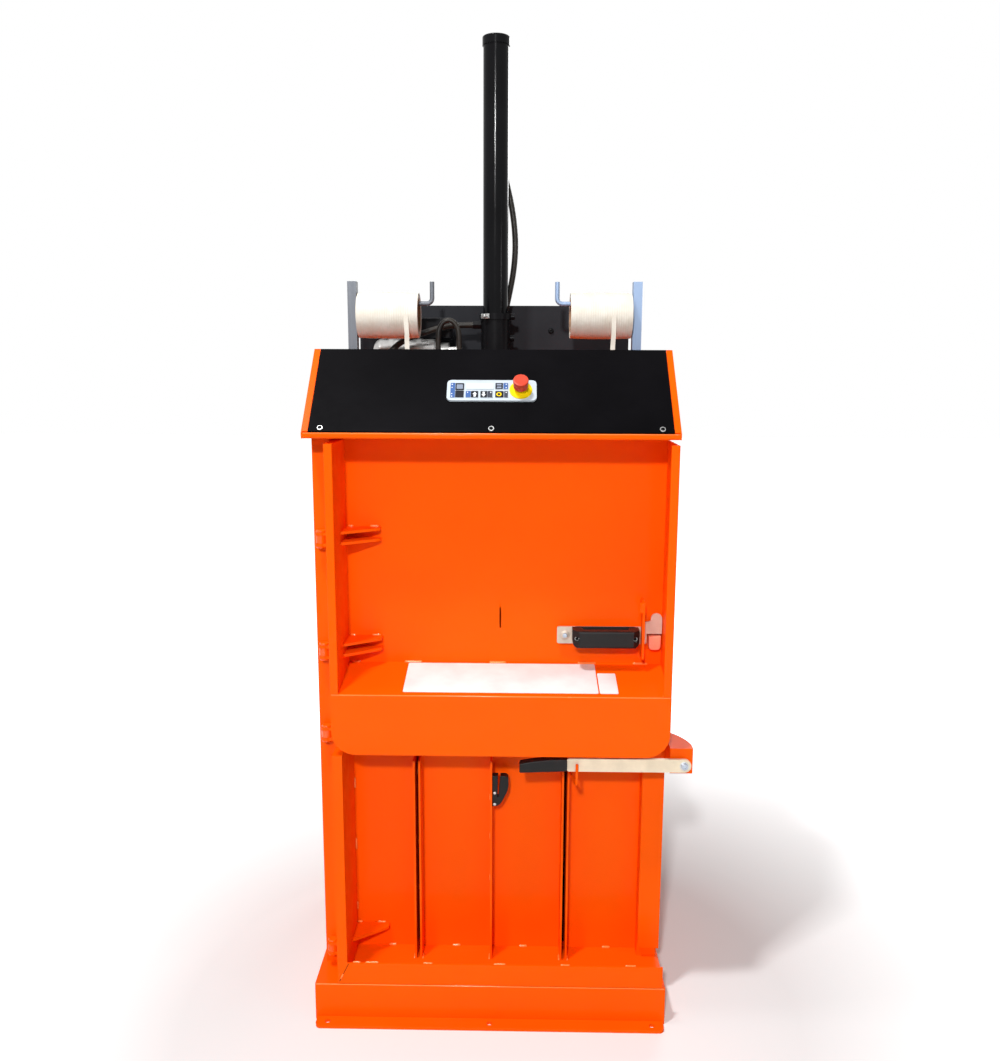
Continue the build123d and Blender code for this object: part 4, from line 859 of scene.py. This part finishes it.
rib_half_bead, rib_foot_z = 0.0035, 0.1070
rib_feet = ((-0.199, -1), (-0.185, 1), (0.0, -1), (0.185, -1), (0.199, 1))
for spot, (rib_x, side) in enumerate(rib_feet):
    x = rib_x + side * rib_half_bead
    weld_bead("rib_foot_weld_%d" % spot, "lower_door", (x, 0.006, rib_foot_z),
              (x, 0.030, rib_foot_z), radius=0.0034)
for spot, (x_low, x_high) in enumerate(sill_welds):
    bead_across("sill_weld_%d" % spot, "lower_door", x_low, x_high, panel_bead_y, sill_bead_z,
                radius=0.0038)
for spot, (x_low, x_high) in enumerate(lip_welds):
    bead_across("sill_lip_weld_%d" % spot, "lower_door", x_low, x_high, lip_bead_y, lip_bead_z,
                radius=0.0026)

flange_bead_x = -0.3625
for spot, (z_low, z_high) in enumerate(((0.385, 0.418), (0.210, 0.232), (0.560, 0.590))):
    weld_bead("flange_weld_%d" % spot, "lower_door", (flange_bead_x, panel_bead_y, z_low),
              (flange_bead_x, panel_bead_y, z_high), radius=0.0034)
rib_bead_length = 0.018
rib_welds = ((-0.1965, 0.60), (-0.1965, 0.40), (-0.1965, 0.27), (-0.0035, 0.53), (-0.0035, 0.42),
             (-0.0035, 0.30), (0.2025, 0.55), (0.2025, 0.36))
for spot, (x, z) in enumerate(rib_welds):
    weld_bead("rib_weld_%d" % spot, "lower_door", (x, panel_bead_y, z),
              (x, panel_bead_y, z + rib_bead_length), radius=0.0030)
weld_bead("mitre_weld", "lower_door", (-0.3815, -0.0975, 0.1150), (-0.3745, -0.0975, 0.1290),
          radius=0.0022)
corner_half_bead, corner_bead_z = 0.009, 0.8785
for spot, x in enumerate((-0.3790, 0.4260)):
    bead_across("shelf_corner_weld_%d" % spot, "upper_door", x - corner_half_bead,
                x + corner_half_bead, lip_bead_y, corner_bead_z,
                radius=0.0030)


# Latch: dark moulded base between the grip's feet, and the block that the bar drops over, whose
# salmon colour is a painted reflection of the orange around it
grip_base = plate(width=0.166, height=0.0450, thickness=0.0012, corner=0.010,
                  place=(0.288, 0.0517, 0.9889), rotation=upright)
settle(grip_base, "latch_grip_base", "upper_latch", "grip_black")


def lower_long_edge(edge):
    """True for the two lower edges that run from front to back."""
    first, second = (corner.co for corner in edge.verts)
    return abs(first.y - second.y) > 0.01 and first.z < 0


keeper_low, keeper_high = corners("latch_keeper")
bpy.ops.mesh.primitive_cube_add(size=1, location=(keeper_low + keeper_high) / 2)
keeper = bpy.context.object
keeper.scale = keeper_high - keeper_low
take(keeper)
bpy.ops.object.transform_apply(location=False, rotation=False, scale=True)
bpy.ops.object.mode_set(mode="EDIT")
pick(keeper, "EDGE", lower_long_edge)
bpy.ops.mesh.bevel(offset=0.010, segments=6)
pick(keeper, "FACE", lambda face: face.normal.y < -0.9)
bpy.ops.mesh.bevel(offset=0.0025, segments=3)
bpy.ops.object.mode_set(mode="OBJECT")
settle(keeper, "latch_keeper_block", "frame", "orange_paint", keeper_reflection_tint)
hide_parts("latch_keeper")


# Column: clamp screw and its small zinc plate
clamp_low, clamp_high = corners("clamp_ring")
clamp_z = clamp_high.z - 0.008
clamp_plate = plate(width=0.026, height=0.013, thickness=0.002, corner=0.0015,
                    place=(-0.026, clamp_low.y + 0.0055, clamp_z),
                    rotation=(math.pi / 2, 0, -0.55))
settle(clamp_plate, "clamp_plate", "frame", "zinc_steel")
button_head("clamp_screw", "frame", "zinc_steel", (-0.029, clamp_low.y + 0.0025, clamp_z),
            (-0.5, -0.86, 0), radius=0.0042)


# Light: a pale room, two small lamps from the front and above that carry most of the light, and
# weak ones for the hood's slope, the right side and the back

def soft_lamp(name, place, target, size, power):
    """A square area lamp that points at target."""
    lamp = bpy.data.objects.new(name, bpy.data.lights.new(name, "AREA"))
    lamp.data.shape = "SQUARE"
    lamp.data.size = size
    lamp.data.energy = power
    lamp.location = place
    lamp.rotation_euler = (Vector(target) - Vector(place)).to_track_quat("-Z", "Y").to_euler()
    bpy.context.collection.objects.link(lamp)


soft_lamp("key lamp", (-0.45, -4.3, 3.35), (0, 0, 1.1), size=0.24, power=152)
soft_lamp("high lamp", (-0.95, -1.30, 4.7), (0, -0.1, 0.9), size=0.3, power=104)
soft_lamp("slope lamp", (-1.25, -0.3, 4.1), (-0.4, 0, 1.6), size=0.4, power=14)
soft_lamp("side lamp", (3.2, -1.9, 2.3), (0, 0.3, 2.0), size=0.3, power=5)
soft_lamp("back lamp", (1.9, 4.6, 3.2), (0, 0.3, 1.0), size=1.6, power=55)


def straight_view(tree):
    """One for what is seen directly, mirrored or through glass, zero for light on the machine."""
    path = tree.nodes.new("ShaderNodeLightPath")
    seen = path.outputs["Is Camera Ray"]
    for kind in ("Is Glossy Ray", "Is Transmission Ray"):
        either = tree.nodes.new("ShaderNodeMath")
        either.operation = "MAXIMUM"
        tree.links.new(seen, either.inputs[0])
        tree.links.new(path.outputs[kind], either.inputs[1])
        seen = either.outputs["Value"]
    return seen


world = bpy.data.worlds.new("studio")
bpy.context.scene.world = world
world.use_nodes = True
room = world.node_tree
room_light = room.nodes["Background"]
room_light.inputs["Color"].default_value = (1, 1, 1, 1)
room_light.inputs["Strength"].default_value = 0.19
room_seen = room.nodes.new("ShaderNodeBackground")
room_seen.inputs["Color"].default_value = (1, 1, 1, 1)
room_seen.inputs["Strength"].default_value = 1.0
choose = room.nodes.new("ShaderNodeMixShader")
room.links.new(straight_view(room), choose.inputs["Fac"])
room.links.new(room_light.outputs["Background"], choose.inputs[1])
room.links.new(room_seen.outputs["Background"], choose.inputs[2])
room.links.new(choose.outputs["Shader"], room.nodes["World Output"].inputs["Surface"])


# Pale floor that keeps the machine's shadow and runs to white between 0.8 and 2.3 m away
bpy.ops.mesh.primitive_plane_add(size=40, location=(0, 0, -0.0005))
floor = bpy.context.object
floor.name = "studio_floor"
floor_finish, floor_tree, floor_shader, floor_place = new_finish("studio floor")
floor_shader.inputs["Base Color"].default_value = (0.86, 0.86, 0.86, 1)
floor_shader.inputs["Roughness"].default_value = 0.9
floor_shader.inputs["Specular IOR Level"].default_value = 0.1
floor_distance = floor_tree.nodes.new("ShaderNodeVectorMath")
floor_distance.operation = "LENGTH"
floor_tree.links.new(floor_place, floor_distance.inputs[0])
floor_far = spread(floor_tree, floor_distance.outputs["Value"], 0.0, 1.0,
                   from_low=0.8, from_high=2.3)
floor_glow = floor_tree.nodes.new("ShaderNodeMath")
floor_glow.operation = "MULTIPLY"
floor_tree.links.new(floor_far, floor_glow.inputs[0])
floor_tree.links.new(straight_view(floor_tree), floor_glow.inputs[1])
floor_shader.inputs["Emission Color"].default_value = (1, 1, 1, 1)
floor_tree.links.new(floor_glow.outputs["Value"], floor_shader.inputs["Emission Strength"])
floor.data.materials.append(floor_finish)
bpy.ops.object.select_all(action="DESELECT")

bpy.context.scene.view_settings.view_transform = "Standard"
